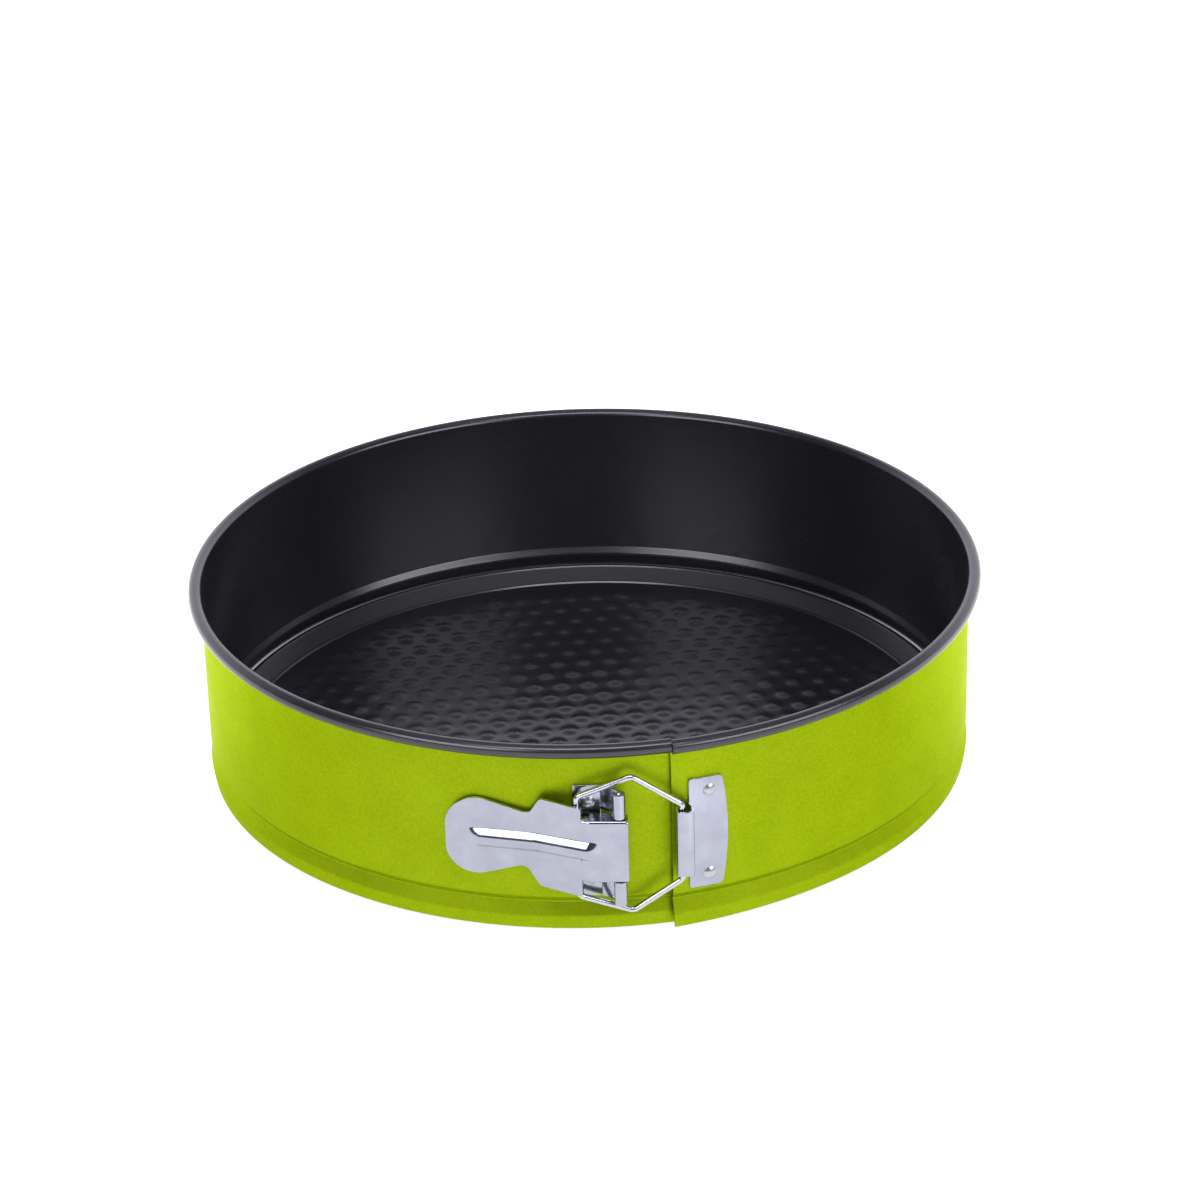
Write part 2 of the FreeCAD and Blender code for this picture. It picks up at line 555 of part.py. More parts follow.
def make_lever():
    """The pressed lever: bent plate with a rib, and two ears folded towards the wall."""
    mid = "sizes.latch_height"
    reach = "2 * sizes.wall_radius"
    plan = lever_strip("lever_section", "", "+ sizes.lever_gauge")
    bind(plan, Placement__Base__z=f"{mid} - 2 * sizes.body_right_half")
    slab = extrude(plan, "lever_slab", "4 * sizes.body_right_half")
    front = free_sketch("lever_outline", front=True)
    half = [
        ("sizes.tongue_x", "sizes.tongue_half", "sizes.corner_round"),
        ("sizes.body_right_x", "sizes.tongue_half"),
        ("sizes.body_right_x", "sizes.body_right_half", "sizes.corner_round"),
        ("sizes.shoulder_x", "sizes.shoulder_half", "sizes.shoulder_round"),
        ("sizes.neck_x", "sizes.neck_half", "sizes.neck_round"),
        ("sizes.head_top_x", "sizes.head_top_half", "sizes.head_round"),
        ("sizes.head_x", "sizes.head_side_half", "sizes.head_round"),
    ]
    upper = [(c[0], f"{lever_mid(c[0])} + {c[1]}") + c[2:] for c in half]
    lower = [(c[0], f"{lever_mid(c[0])} - {c[1]}") + c[2:] for c in half]
    draw(front, upper + lower[::-1])
    outline = extrude(front, "lever_blank", reach, Vector(0, -1, 0))
    plate = common("lever_plate", slab, outline)

    rib_plan = lever_strip("rib_section", "- sizes.rib_rise", "+ sizes.lever_gauge / 2")
    rib_mid = f"{mid} + sizes.rib_lift"
    bind(rib_plan, Placement__Base__z=f"{rib_mid} - 2 * sizes.rib_half")
    rib_slab = extrude(rib_plan, "rib_slab", "4 * sizes.rib_half")
    rib_bar = doc.addObject("Part::Box", "rib_bar")
    bind(rib_bar,
         Length="sizes.rib_right_x - sizes.rib_left_x - 2 * sizes.rib_half",
         Width=reach,
         Height="2 * sizes.rib_half",
         Placement__Base__x="sizes.rib_left_x + sizes.rib_half",
         Placement__Base__y=f"-({reach})",
         Placement__Base__z=f"{rib_mid} - sizes.rib_half")
    ends = []
    for side, across in (("left", "sizes.rib_left_x + sizes.rib_half"),
                         ("right", "sizes.rib_right_x - sizes.rib_half")):
        end = doc.addObject("Part::Cylinder", f"rib_{side}_end")
        end.Placement = Placement(Vector(), Rotation(Vector(1, 0, 0), 90))
        bind(end, Radius="sizes.rib_half", Height=reach,
             Placement__Base__x=across, Placement__Base__z=rib_mid)
        ends.append(end)
    rib = common("lever_rib", rib_slab, fuse("rib_front", [rib_bar] + ends))

    ear_plan = free_sketch("ear_outline")
    gauge = "sizes.lever_gauge / 2"
    edge_out = "sizes.pin_radius + sizes.pin_clearance + sizes.ear_wall"
    foot = radial("sizes.ear_foot_standoff", "sizes.bail_pivot_x")
    slope = "(sizes.ear_left_x - sizes.ridge_x) / (sizes.waist_x - sizes.ridge_x)"
    ridge_out = radial("sizes.ridge_standoff", "sizes.ridge_x")
    waist_out = radial("sizes.waist_standoff", "sizes.waist_x")
    left_out = f"({ridge_out}) + (({waist_out}) - ({ridge_out})) * {slope}"
    draw(ear_plan, [
        ("sizes.ear_left_x", f"-({left_out}) + {gauge}"),
        ("sizes.ridge_x", f"-({ridge_out}) + {gauge}"),
        ("sizes.tongue_x", f"-({radial('sizes.tongue_standoff', 'sizes.tongue_x')}) + {gauge}"),
        ("sizes.tongue_x", f"-({PIVOT_OUT}) + {edge_out}", "sizes.corner_round"),
        ("sizes.pivot_x - sizes.knuckle_radius", f"-({PIVOT_OUT}) + {edge_out}"),
        ("sizes.ear_foot_x", f"-({foot})", "sizes.corner_round"),
        ("sizes.ear_left_x", f"-({foot})", "sizes.corner_round"),
    ])
    ears = []
    for side, height in (("upper", f"{mid} + sizes.tongue_half - sizes.ear_gauge"),
                         ("lower", f"{mid} - sizes.tongue_half")):
        ear = extrude(ear_plan, f"{side}_ear", "sizes.ear_gauge")
        bind(ear, Placement__Base__z=height)
        ears.append(ear)

    pin_hole = doc.addObject("Part::Cylinder", "ear_pin_hole")
    bind(pin_hole,
         Radius="sizes.pin_radius + sizes.pin_clearance",
         Height="4 * sizes.tongue_half",
         Placement__Base__x="sizes.pivot_x",
         Placement__Base__y=f"-({PIVOT_OUT})",
         Placement__Base__z=f"{mid} - 2 * sizes.tongue_half")
    slot_plan = free_sketch("slot_outline")
    room = "(sizes.wire_radius + sizes.slot_clearance)"
    bind(slot_plan,
         Placement__Base__x="sizes.bail_pivot_x",
         Placement__Base__y=f"-({BAIL_OUT})",
         Placement__Base__z=f"{mid} - 2 * sizes.tongue_half",
         Placement__Rotation__Angle=(f"atan((({BAIL_OUT}) - ({PIVOT_OUT})) "
                                     "/ (sizes.pivot_x - sizes.bail_pivot_x))"))
    draw(slot_plan, [
        (f"-{room}", f"-{room} - sizes.slot_rise", "sizes.wire_radius"),
        (f"sizes.slot_travel + {room}", f"-{room} - sizes.slot_rise", "sizes.wire_radius"),
        (f"sizes.slot_travel + {room}", f"{room} + sizes.slot_drop", "sizes.wire_radius"),
        (f"-{room}", f"{room} + sizes.slot_drop", "sizes.wire_radius"),
    ])
    slot = extrude(slot_plan, "ear_slot", "4 * sizes.tongue_half")
    punched = [cut(f"{ear.Name}_punched", ear, fuse(f"{ear.Name}_holes", [pin_hole, slot])) for ear in ears]
    lever = fuse("lever", [plate, rib] + punched)
    lever.Label = "lever"
    return lever


# ---------------------------------------------------------------- bail
def make_bail():
    """The wire bail: a flat six-sided loop with its two ends turned in to the ears."""
    path = free_sketch("bail_path", front=True)
    bar = ("sqrt((sizes.catch_bar_x - sizes.bail_pivot_x)^2 + "
           f"(({BAIL_OUT}) - ({BAR_OUT}))^2)")
    half = [
        ("0", "sizes.bail_end_half"),
        ("0", "sizes.bail_shoulder_half", "sizes.bail_bend"),
        ("sizes.bail_apex_reach", "sizes.bail_apex_half", "sizes.bail_bend"),
        (bar, "sizes.bail_hook_half", "sizes.bail_bend"),
    ]
    lower = [(c[0], f"-{c[1]}") + c[2:] for c in half]
    draw(path, lower + half[::-1], closed=False)
    section = free_sketch("bail_section")
    circle_at(section, "wire", "0", "0", "sizes.wire_radius")
    bind(section, Placement__Base__z="-sizes.bail_end_half")
    doc.recompute()
    bail = doc.addObject("Part::Sweep", "bail")
    bail.Label = "bail"
    bail.Sections = [section]
    bail.Spine = (path, [])
    bail.Solid = True
    bail.Transition = "Round corner"
    bind(bail,
         Placement__Base__x="sizes.bail_pivot_x",
         Placement__Base__y=f"-({BAIL_OUT})",
         Placement__Base__z="sizes.latch_height",
         Placement__Rotation__Angle=(f"atan((({BAIL_OUT}) - ({BAR_OUT})) "
                                     "/ (sizes.catch_bar_x - sizes.bail_pivot_x))"))
    return bail


# ---------------------------------------------------------------- catch plate
def make_catch_plate():
    """The plate riveted to the flap, with a tab curled round the bail's hook bar."""
    body = new_body("catch_plate")
    low = "sizes.latch_height - sizes.catch_half"
    high = "sizes.latch_height + sizes.catch_half"
    foot = upright_sketch(body, "catch_section", "sizes.catch_left_angle")
    bind(foot,
         AttachmentOffset__Base__x="-sizes.flap_growth * sin(sizes.flap_root_angle)",
         AttachmentOffset__Base__z="-sizes.flap_growth * cos(sizes.flap_root_angle)")
    inner = "sizes.wall_radius + sizes.flap_growth"
    outer = f"{inner} + sizes.catch_gauge"
    draw(foot, [(inner, low), (outer, low), (outer, high), (inner, high)])
    revolve(body, foot, "catch_foot", "sizes.catch_right_angle - sizes.catch_left_angle")

    bar_y = f"-({BAR_OUT})"
    curl_x = "sizes.catch_bar_x + sizes.curl_play"
    foot_x = ("(sizes.wall_radius + sizes.flap_growth) * sin(sizes.catch_left_angle)"
              " - sizes.flap_growth * sin(sizes.flap_root_angle)")
    foot_y = ("-(sizes.wall_radius + sizes.flap_growth) * cos(sizes.catch_left_angle)"
              " + sizes.flap_growth * cos(sizes.flap_root_angle)")
    tab_low = "sizes.latch_height - sizes.curl_half"
    ramp = plan_sketch(body, "tab_ramp_outline", tab_low)
    draw(ramp, [
        (f"{foot_x} + sizes.catch_gauge", f"{foot_y} + sizes.tab_root_inset"),
        (f"{foot_x} + sizes.catch_gauge", f"{foot_y} - sizes.catch_gauge"),
        (curl_x, f"{bar_y} + sizes.curl_radius - sizes.curl_wall"),
        (f"{curl_x} - sizes.curl_wall", f"{bar_y} + sizes.curl_radius - sizes.tab_end_inset"),
    ])
    pad(body, ramp, "tab_ramp", "2 * sizes.curl_half")
    for name, radius in (("curl", "sizes.curl_radius"), ("curl_bore", "sizes.curl_radius - sizes.curl_wall")):
        sketch = plan_sketch(body, f"{name}_outline", tab_low)
        circle_at(sketch, name, curl_x, bar_y, radius)
        if name == "curl":
            pad(body, sketch, name, "2 * sizes.curl_half")
        else:
            pocket(body, sketch, name, "6 * sizes.curl_half", both_ways=True)

    edge_x = ("(sizes.wall_radius + sizes.flap_growth) * sin(sizes.catch_right_angle)"
              " - sizes.flap_growth * sin(sizes.flap_root_angle)")
    trim = body_sketch(body, "catch_edge_outline", "XZ_Plane")
    draw(trim, [
        (f"{edge_x} - sizes.catch_bow", high),
        (f"{edge_x} + sizes.catch_gauge", "sizes.latch_height", "sizes.catch_bow_radius"),
        (f"{edge_x} - sizes.catch_bow", low),
        (f"{edge_x} - sizes.catch_bow", f"{low} - sizes.catch_gauge"),
        (f"{edge_x} + sizes.trim_margin", f"{low} - sizes.catch_gauge"),
        (f"{edge_x} + sizes.trim_margin", f"{high} + sizes.catch_gauge"),
        (f"{edge_x} - sizes.catch_bow", f"{high} + sizes.catch_gauge"),
    ])
    pocket(body, trim, "catch_edge", "2 * sizes.wall_radius", backwards=True)
    return body


# ---------------------------------------------------------------- rivets
FLAP_X = "-sizes.flap_growth * sin(sizes.flap_root_angle)"
FLAP_Y = "sizes.flap_growth * cos(sizes.flap_root_angle)"

# for each pair: mid height offset, angle, centre of the curve, outer face, sheets gripped
RIVET_PAIRS = {
    "bracket_rivets": ("sizes.bracket_rivet_half", "sizes.bracket_rivet_angle", "0", "0",
                       "sizes.wall_radius + sizes.bracket_gauge",
                       "(sizes.wall_gauge + sizes.bracket_gauge + sizes.rivet_seat_gap)"),
    "catch_rivets": ("sizes.catch_rivet_half", "sizes.catch_rivet_angle", FLAP_X, FLAP_Y,
                     "sizes.wall_radius + sizes.flap_growth + sizes.catch_gauge",
                     "(sizes.wall_gauge + sizes.catch_gauge + sizes.rivet_seat_gap)"),
}


def seat(thing, name, sign):
    """Stand a thing's own Z axis out from the wall at one of a pair's places."""
    half, angle, centre_x, centre_y, face, _ = RIVET_PAIRS[name]
    bind(thing,
         Placement=(f"placement(vector({centre_x} + ({face}) * sin({angle}); "
                    f"{centre_y} - ({face}) * cos({angle}); sizes.latch_height {sign} {half}); "
                    f"rotation(vector(0; 0; 1); {angle}) * rotation(vector(1; 0; 0); 90))"))
    return thing


def make_rivets(name):
    """Two rivets: each a domed head outside, a shank through the sheets, a head inside."""
    grip = RIVET_PAIRS[name][5]
    dome = "(sizes.rivet_head_radius^2 + sizes.rivet_head_rise^2) / (2 * sizes.rivet_head_rise)"
    drop = f"({dome} - sizes.rivet_head_rise)"
    pair = []
    for place, sign in (("upper", "+"), ("lower", "-")):
        heads = []
        for side, turn in (("outer", 0), ("inner", 180)):
            head = doc.addObject("Part::Sphere", f"{name}_{place}_{side}_head")
            head.Angle2 = 90
            head.Placement = Placement(Vector(), Rotation(Vector(1, 0, 0), turn))
            along = f"-{drop}" if side == "outer" else f"{drop} - {grip}"
            bind(head, Radius=dome, Angle1=f"asin({drop} / ({dome}))", Placement__Base__z=along)
            heads.append(head)
        shank = doc.addObject("Part::Cylinder", f"{name}_{place}_shank")
        bind(shank, Radius="sizes.rivet_shank_radius", Height=grip, Placement__Base__z=f"-({grip})")
        pair.append(seat(fuse(f"{name}_{place}", heads + [shank]), name, sign))
    group = doc.addObject("Part::Compound", name)
    group.Label = name
    group.Links = pair
    return group


def punch(sheet_body, name):
    """The sheet with a pair's two rivet holes punched through it."""
    label = sheet_body.Label
    sheet_body.Label = f"{label}_sheet"
    punches = []
    for place, sign in (("upper", "+"), ("lower", "-")):
        tool = doc.addObject("Part::Cylinder", f"{label}_{place}_punch")
        stem = doc.addObject("Part::Compound", f"{label}_{place}_stem")
        stem.Links = [tool]
        bind(tool, Radius="sizes.rivet_shank_radius + sizes.rivet_hole_clearance",
             Height="8 * sizes.rivet_head_radius", Placement__Base__z="-4 * sizes.rivet_head_radius")
        punches.append(seat(stem, name, sign))
    pierced = cut(f"{label}_pierced", sheet_body, fuse(f"{label}_punches", punches))
    pierced.Label = label
    return pierced


nodes = [
    make_base_plate(),
    punch(make_band_left(), "bracket_rivets"),
    punch(make_band_right(), "catch_rivets"),
    punch(make_hinge_bracket(), "bracket_rivets"),
    make_hinge_pin(),
    make_rivets("bracket_rivets"),
    make_lever(),
    make_bail(),
    punch(make_catch_plate(), "catch_rivets"),
    make_rivets("catch_rivets"),
]
doc.recompute()

# ---------------------------------------------------------------- checks and files
for thing in doc.Objects:
    if "Invalid" in thing.State or "Error" in thing.State:
        raise RuntimeError(f"{thing.Label} failed: {thing.State}")
for node in nodes:
    if node.Shape.isNull() or not node.Shape.isValid():
        raise RuntimeError(f"{node.Label} has no valid shape")
os.makedirs("parts", exist_ok=True)
for node in nodes:
    node.Shape.exportStep(f"parts/{node.Label}.step")
    box = node.Shape.BoundBox
    print(f"{node.Label:16s} solids {len(node.Shape.Solids)} volume {node.Shape.Volume:9.1f} "
          f"x {box.XMin:7.2f} {box.XMax:7.2f} y {box.YMin:7.2f} {box.YMax:7.2f} "
          f"z {box.ZMin:6.2f} {box.ZMax:6.2f}")
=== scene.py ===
"""Springform pan: the looks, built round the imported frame.

Metres in the scene, millimetres in the sizes below. The pan's axis is Z, the table
is z = 0 and the latch faces -Y. Angles round the pan are in degrees from -Y.
"""
import math

import bpy
import numpy as np
from mathutils import Matrix, Vector, geometry


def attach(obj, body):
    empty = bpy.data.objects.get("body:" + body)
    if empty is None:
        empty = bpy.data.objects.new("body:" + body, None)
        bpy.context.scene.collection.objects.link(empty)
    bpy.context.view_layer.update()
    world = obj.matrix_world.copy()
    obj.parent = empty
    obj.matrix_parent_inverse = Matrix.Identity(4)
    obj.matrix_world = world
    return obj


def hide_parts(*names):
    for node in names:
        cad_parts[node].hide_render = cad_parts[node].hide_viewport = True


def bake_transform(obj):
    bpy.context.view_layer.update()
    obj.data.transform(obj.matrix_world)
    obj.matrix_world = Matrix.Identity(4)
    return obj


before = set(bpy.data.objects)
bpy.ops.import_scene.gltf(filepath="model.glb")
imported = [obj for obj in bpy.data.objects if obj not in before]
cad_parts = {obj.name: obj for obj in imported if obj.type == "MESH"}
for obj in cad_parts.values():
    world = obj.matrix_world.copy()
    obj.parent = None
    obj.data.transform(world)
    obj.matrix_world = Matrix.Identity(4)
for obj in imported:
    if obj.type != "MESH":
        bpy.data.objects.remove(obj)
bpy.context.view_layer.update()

# ---------------------------------------------------------------- studio
# A table top of white paper lit from under it, so that the pan throws no shadow, with
# a wide softbox on each side and one overhead. The room is dark but for a low wall of
# light behind the table.
scene = bpy.context.scene
scene.view_settings.view_transform = "Standard"
PICTURE = 1200           # the picture's side, in its own units
PICTURE_SHIFT = (13.2, 59.2)
SENSOR = 36              # the camera's, mm, as its lens is
LENS = 115.48
CAMERA_PLACE = (0, -1.17908, 0.62594)
CAMERA_TILT = 63.187     # up from straight down, degrees
CAMERA_ROLL = -1.638
camera = bpy.data.objects.new("camera", bpy.data.cameras.new("camera"))
scene.collection.objects.link(camera)
scene.camera = camera
camera.data.sensor_width = SENSOR
camera.data.lens = LENS
camera.data.shift_x = PICTURE_SHIFT[0] / PICTURE
camera.data.shift_y = PICTURE_SHIFT[1] / PICTURE
camera.matrix_world = (Matrix.Translation(CAMERA_PLACE)
                       @ Matrix.Rotation(math.radians(CAMERA_TILT), 4, "X")
                       @ Matrix.Rotation(math.radians(CAMERA_ROLL), 4, "Z"))


def linear(code):
    """An sRGB hex colour as the linear colour that a node takes."""
    parts = [int(code[i:i + 2], 16) / 255 for i in (1, 3, 5)]
    return [c / 12.92 if c <= 0.04045 else ((c + 0.055) / 1.055) ** 2.4 for c in parts] + [1]


def add_node(tree, kind, inputs, **settings):
    """Adds a node; inputs gives each socket's value, or the output linked to it."""
    made = tree.nodes.new(kind)
    for key, value in settings.items():
        setattr(made, key, value)
    for socket, value in inputs.items():
        if isinstance(value, bpy.types.NodeSocket):
            tree.links.new(value, made.inputs[socket])
        else:
            made.inputs[socket].default_value = value
    return made


DAYLIGHT = "#f6f5ff"
AIM = (0, 0, 0.05)       # the middle of the pan


def add_softbox(name, place, width, height, power, aim=AIM):
    """A rectangular daylight softbox at a place, turned to its aim."""
    lamp = bpy.data.lights.new(name, "AREA")
    lamp.shape = "RECTANGLE"
    lamp.size, lamp.size_y, lamp.energy = width, height, power
    lamp.color = linear(DAYLIGHT)[:3]
    box = bpy.data.objects.new(name, lamp)
    scene.collection.objects.link(box)
    box.location = place
    box.rotation_mode = "QUATERNION"
    box.rotation_quaternion = (Vector(aim) - Vector(place)).to_track_quat("-Z", "Y")


add_softbox("left_softbox", (-0.84, -1.03, 0.8), 0.9, 0.6, 8)
add_softbox("right_softbox", (1.08, -0.88, 0.78), 1.2, 0.6, 9.6)
add_softbox("top_softbox", (0, -0.62, 1.15), 0.9, 0.3, 5)
# a little light that the table throws up at the latch from the right; it shows in no
# reflection, so it only fills what is matt
add_softbox("table_glow", (0.068, -0.215, 0.001), 0.06, 0.06, 0.09, (0.012, -0.13, 0.056))
bpy.data.objects["table_glow"].visible_glossy = False

# the studio's walls: bright low down behind the table, dark higher up and round the
# camera, and faintly lit overhead
sky = bpy.data.worlds.new("studio_walls")
scene.world = sky
sky.use_nodes = True
tree = sky.node_tree
where = add_node(tree, "ShaderNodeTexCoord", {})
axes = add_node(tree, "ShaderNodeSeparateXYZ", {"Vector": where.outputs["Generated"]})
behind = add_node(tree, "ShaderNodeMapRange",
                  {"Value": axes.outputs["Y"], "From Min": -0.1, "From Max": 0.7,
                   "To Min": 0.08, "To Max": 1.5}, interpolation_type="SMOOTHSTEP")
low_down = add_node(tree, "ShaderNodeMapRange",
                    {"Value": axes.outputs["Z"], "From Min": 0.45, "From Max": 0.78,
                     "To Min": 1.0, "To Max": 0.15}, interpolation_type="SMOOTHSTEP")
overhead = add_node(tree, "ShaderNodeMapRange",
                    {"Value": axes.outputs["Z"], "From Min": 0.75, "From Max": 0.97,
                     "To Min": 0.0, "To Max": 0.5}, interpolation_type="SMOOTHSTEP")
wall_light = add_node(tree, "ShaderNodeMath",
                      {0: behind.outputs["Result"], 1: low_down.outputs["Result"]},
                      operation="MULTIPLY")
power = add_node(tree, "ShaderNodeMath",
                 {0: wall_light.outputs["Value"], 1: overhead.outputs["Result"]},
                 operation="ADD")
tree.nodes["Background"].inputs["Color"].default_value = linear("#ecebf8")
tree.links.new(power.outputs["Value"], tree.nodes["Background"].inputs["Strength"])

# matt white paper: no gloss, and its own glow, brighter from the pan's middle back,
# stands for the lamps under it
paper = bpy.data.materials.new("lit_white_paper")
paper.use_nodes = True
tree = paper.node_tree
shader = tree.nodes["Principled BSDF"]
shader.inputs["Base Color"].default_value = linear("#a6a6a6")
shader.inputs["Roughness"].default_value = 0.9
shader.inputs["Specular IOR Level"].default_value = 0.0
shader.inputs["Emission Color"].default_value = linear("#ffffff")
where = add_node(tree, "ShaderNodeTexCoord", {})
depth = add_node(tree, "ShaderNodeSeparateXYZ", {"Vector": where.outputs["Object"]})
glow = add_node(tree, "ShaderNodeMapRange",
                {"Value": depth.outputs["Y"], "From Min": -0.08, "From Max": 0.05,
                 "To Min": 0.8, "To Max": 1.8}, interpolation_type="SMOOTHSTEP")
tree.links.new(glow.outputs["Result"], shader.inputs["Emission Strength"])
TABLE_HALF = 6.0
TABLE_DROP = 0.0003      # just under the base, so that the two faces don't meet
sheet = bpy.data.meshes.new("table_top")
corners = [(-1, -1), (1, -1), (1, 1), (-1, 1)]
sheet.from_pydata([(x * TABLE_HALF, y * TABLE_HALF, -TABLE_DROP) for x, y in corners],
                  [], [(0, 1, 2, 3)])
sheet.materials.append(paper)
table_top = bpy.data.objects.new("table_top", sheet)
scene.collection.objects.link(table_top)

# ---------------------------------------------------------------- base plate
# The loose bottom: carbon steel sheet pressed with a low step round its rim and
# staggered dimples that let air under the cake, then sprayed with non-stick coat.
MM = 0.001
FLOOR_TOP = 0.7
BASE_GAUGE = 0.7
DIMPLE_FIELD = 117.0     # dimples stay inside this radius
DIMPLE_PITCH = 9.65
DIMPLE_ROW = 8.7
DIMPLE_TURN = 4.5        # the rows run this far off +X, degrees
DIMPLE_START = (-12.1, 11.9)
DIMPLE_REACH = 16        # rows and columns tried each way from there
DIMPLE_RADIUS = 4.2
DIMPLE_TOP = 0.8         # the flat on top reaches this far out
DIMPLE_RISE = 0.55
NUB_RADIUS = 0.9         # a small nub stands on that flat
NUB_RISE = 0.14
DIMPLE_RINGS = (0.35, 0.65, 0.9, 1.3, 1.75, 2.25, 2.75, 3.25, 3.75, 4.2)
DIMPLE_SIDES = 16
MARGIN_RADIUS = 119.5    # the flat floor ends here
ROUND_STEPS = 360
WELD = 1e-5              # flat points nearer than this are one, mm
INSIDE_EDGES = 1         # the fill: only what the given edges enclose
# each corner's radius, height and rounding
BASE_STEP = [(MARGIN_RADIUS, FLOOR_TOP, 0), (121.2, FLOOR_TOP, 0.2), (121.7, 1.35, 0.25),
             (122.2, 1.15, 0.2), (127.4, 4.5, 0.2), (127.8, 5.05, 0.25), (128.4, 4.75, 0.2),
             (129.1, 4.75, 0)]

# fluoropolymer non-stick spray: near-black satin whose fine orange peel breaks up light
nonstick = bpy.data.materials.new("baked_nonstick_coat")
nonstick.use_nodes = True
tree = nonstick.node_tree
shader = tree.nodes["Principled BSDF"]
shader.inputs["Specular IOR Level"].default_value = 0.9
where = add_node(tree, "ShaderNodeTexCoord", {})
PEEL = 0.7               # orange peel; drawn coarser than the real 0.2 mm to show
CLOUD = 35               # slow change of sheen left by the spray gun
peel = add_node(tree, "ShaderNodeTexNoise",
                {"Vector": where.outputs["Object"], "Scale": 1 / (PEEL * MM), "Detail": 3})
cloud = add_node(tree, "ShaderNodeTexNoise",
                 {"Vector": where.outputs["Object"], "Scale": 1 / (CLOUD * MM), "Detail": 2})
sheen = add_node(tree, "ShaderNodeMapRange",
                 {"Value": cloud.outputs["Fac"], "From Min": 0.3, "From Max": 0.7,
                  "To Min": 0.22, "To Max": 0.28})
tone = add_node(tree, "ShaderNodeValToRGB", {"Fac": peel.outputs["Fac"]})
tone.color_ramp.elements[0].position = 0.3
tone.color_ramp.elements[0].color = linear("#1b1a1e")
tone.color_ramp.elements[1].position = 0.7
tone.color_ramp.elements[1].color = linear("#252429")
grain = add_node(tree, "ShaderNodeBump",
                 {"Height": peel.outputs["Fac"], "Strength": 0.25, "Distance": 0.05 * MM})
tree.links.new(tone.outputs["Color"], shader.inputs["Base Color"])
tree.links.new(sheen.outputs["Result"], shader.inputs["Roughness"])
tree.links.new(grain.outputs["Normal"], shader.inputs["Normal"])


def rounded_line(corners, turn=10, closed=False):
    """Points along straight runs whose corners (x, y, radius) are rounded off, with no
    more than the given turn, in degrees, from one point to the next."""
    line = []
    for i, (x, y, radius) in enumerate(corners):
        here = Vector((x, y))
        if not radius or (not closed and i in (0, len(corners) - 1)):
            line.append(here)
            continue
        back = (Vector(corners[i - 1][:2]) - here).normalized()
        ahead = (Vector(corners[(i + 1) % len(corners)][:2]) - here).normalized()
        half = back.angle(ahead) / 2
        centre = here + (back + ahead).normalized() * radius / math.sin(half)
        spoke = here + back * radius / math.tan(half) - centre
        sweep = math.copysign(math.pi - 2 * half, back.y * ahead.x - back.x * ahead.y)
        steps = max(2, math.ceil(abs(math.degrees(sweep)) / turn))
        line += [centre + Matrix.Rotation(sweep * k / steps, 2) @ spoke
                 for k in range(steps + 1)]
    return np.array([tuple(p) for p in line])


def round_the_pan(radius, angle, z, centre=(0, 0)):
    """The point at a radius, angle and height round the pan, or round another centre."""
    return (centre[0] + radius * math.sin(math.radians(angle)),
            centre[1] - radius * math.cos(math.radians(angle)), z)


def add_piece(name, points, faces, finishes, finish_of=None):
    """A smooth mesh piece from points in millimetres, in the row frame."""
    mesh = bpy.data.meshes.new(name)
    mesh.from_pydata([[c * MM for c in p] for p in points], [], faces)
    for finish in finishes:
        mesh.materials.append(finish)
    if finish_of is not None:
        mesh.polygons.foreach_set("material_index", finish_of)
    mesh.shade_smooth()
    piece = bpy.data.objects.new(name, mesh)
    scene.collection.objects.link(piece)
    return piece


lean = math.radians(DIMPLE_TURN)
flat_points, heights = [], []
for row in range(-DIMPLE_REACH, DIMPLE_REACH + 1):
    for column in range(-DIMPLE_REACH, DIMPLE_REACH + 1):
        along = (column + (row % 2) / 2) * DIMPLE_PITCH
        up = row * DIMPLE_ROW
        x = DIMPLE_START[0] + along * math.cos(lean) - up * math.sin(lean)
        y = DIMPLE_START[1] + along * math.sin(lean) + up * math.cos(lean)
        if math.hypot(x, y) + DIMPLE_RADIUS > DIMPLE_FIELD:
            continue
        flat_points.append((x, y))
        heights.append(FLOOR_TOP + DIMPLE_RISE + NUB_RISE)
        for ring, reach in enumerate(DIMPLE_RINGS):
            fall = min(1, max(0, (reach - DIMPLE_TOP) / (DIMPLE_RADIUS - DIMPLE_TOP)))
            rise = DIMPLE_RISE * math.cos(math.pi / 2 * fall) ** 2
            rise += NUB_RISE * math.cos(math.pi / 2 * min(1, reach / NUB_RADIUS)) ** 2
            for side in range(DIMPLE_SIDES):
                angle = math.tau * (side + ring % 2 / 2) / DIMPLE_SIDES
                flat_points.append((x + reach * math.cos(angle), y + reach * math.sin(angle)))
                heights.append(FLOOR_TOP + rise)
first_rim = len(flat_points)
for step in range(ROUND_STEPS):
    angle = 360 * step / ROUND_STEPS
    flat_points.append(round_the_pan(MARGIN_RADIUS, angle, 0)[:2])
    heights.append(FLOOR_TOP)
rim_edges = [(first_rim + i, first_rim + (i + 1) % ROUND_STEPS) for i in range(ROUND_STEPS)]
made = geometry.delaunay_2d_cdt([Vector(p) for p in flat_points], rim_edges, [],
                                INSIDE_EDGES, WELD)
points = [(p.x, p.y, heights[source[0]]) for p, source in zip(made[0], made[3])]
faces = [tuple(f) for f in made[2]]
rim_of = {source[0]: i for i, source in enumerate(made[3])}
ring = [rim_of[first_rim + i] for i in range(ROUND_STEPS)]
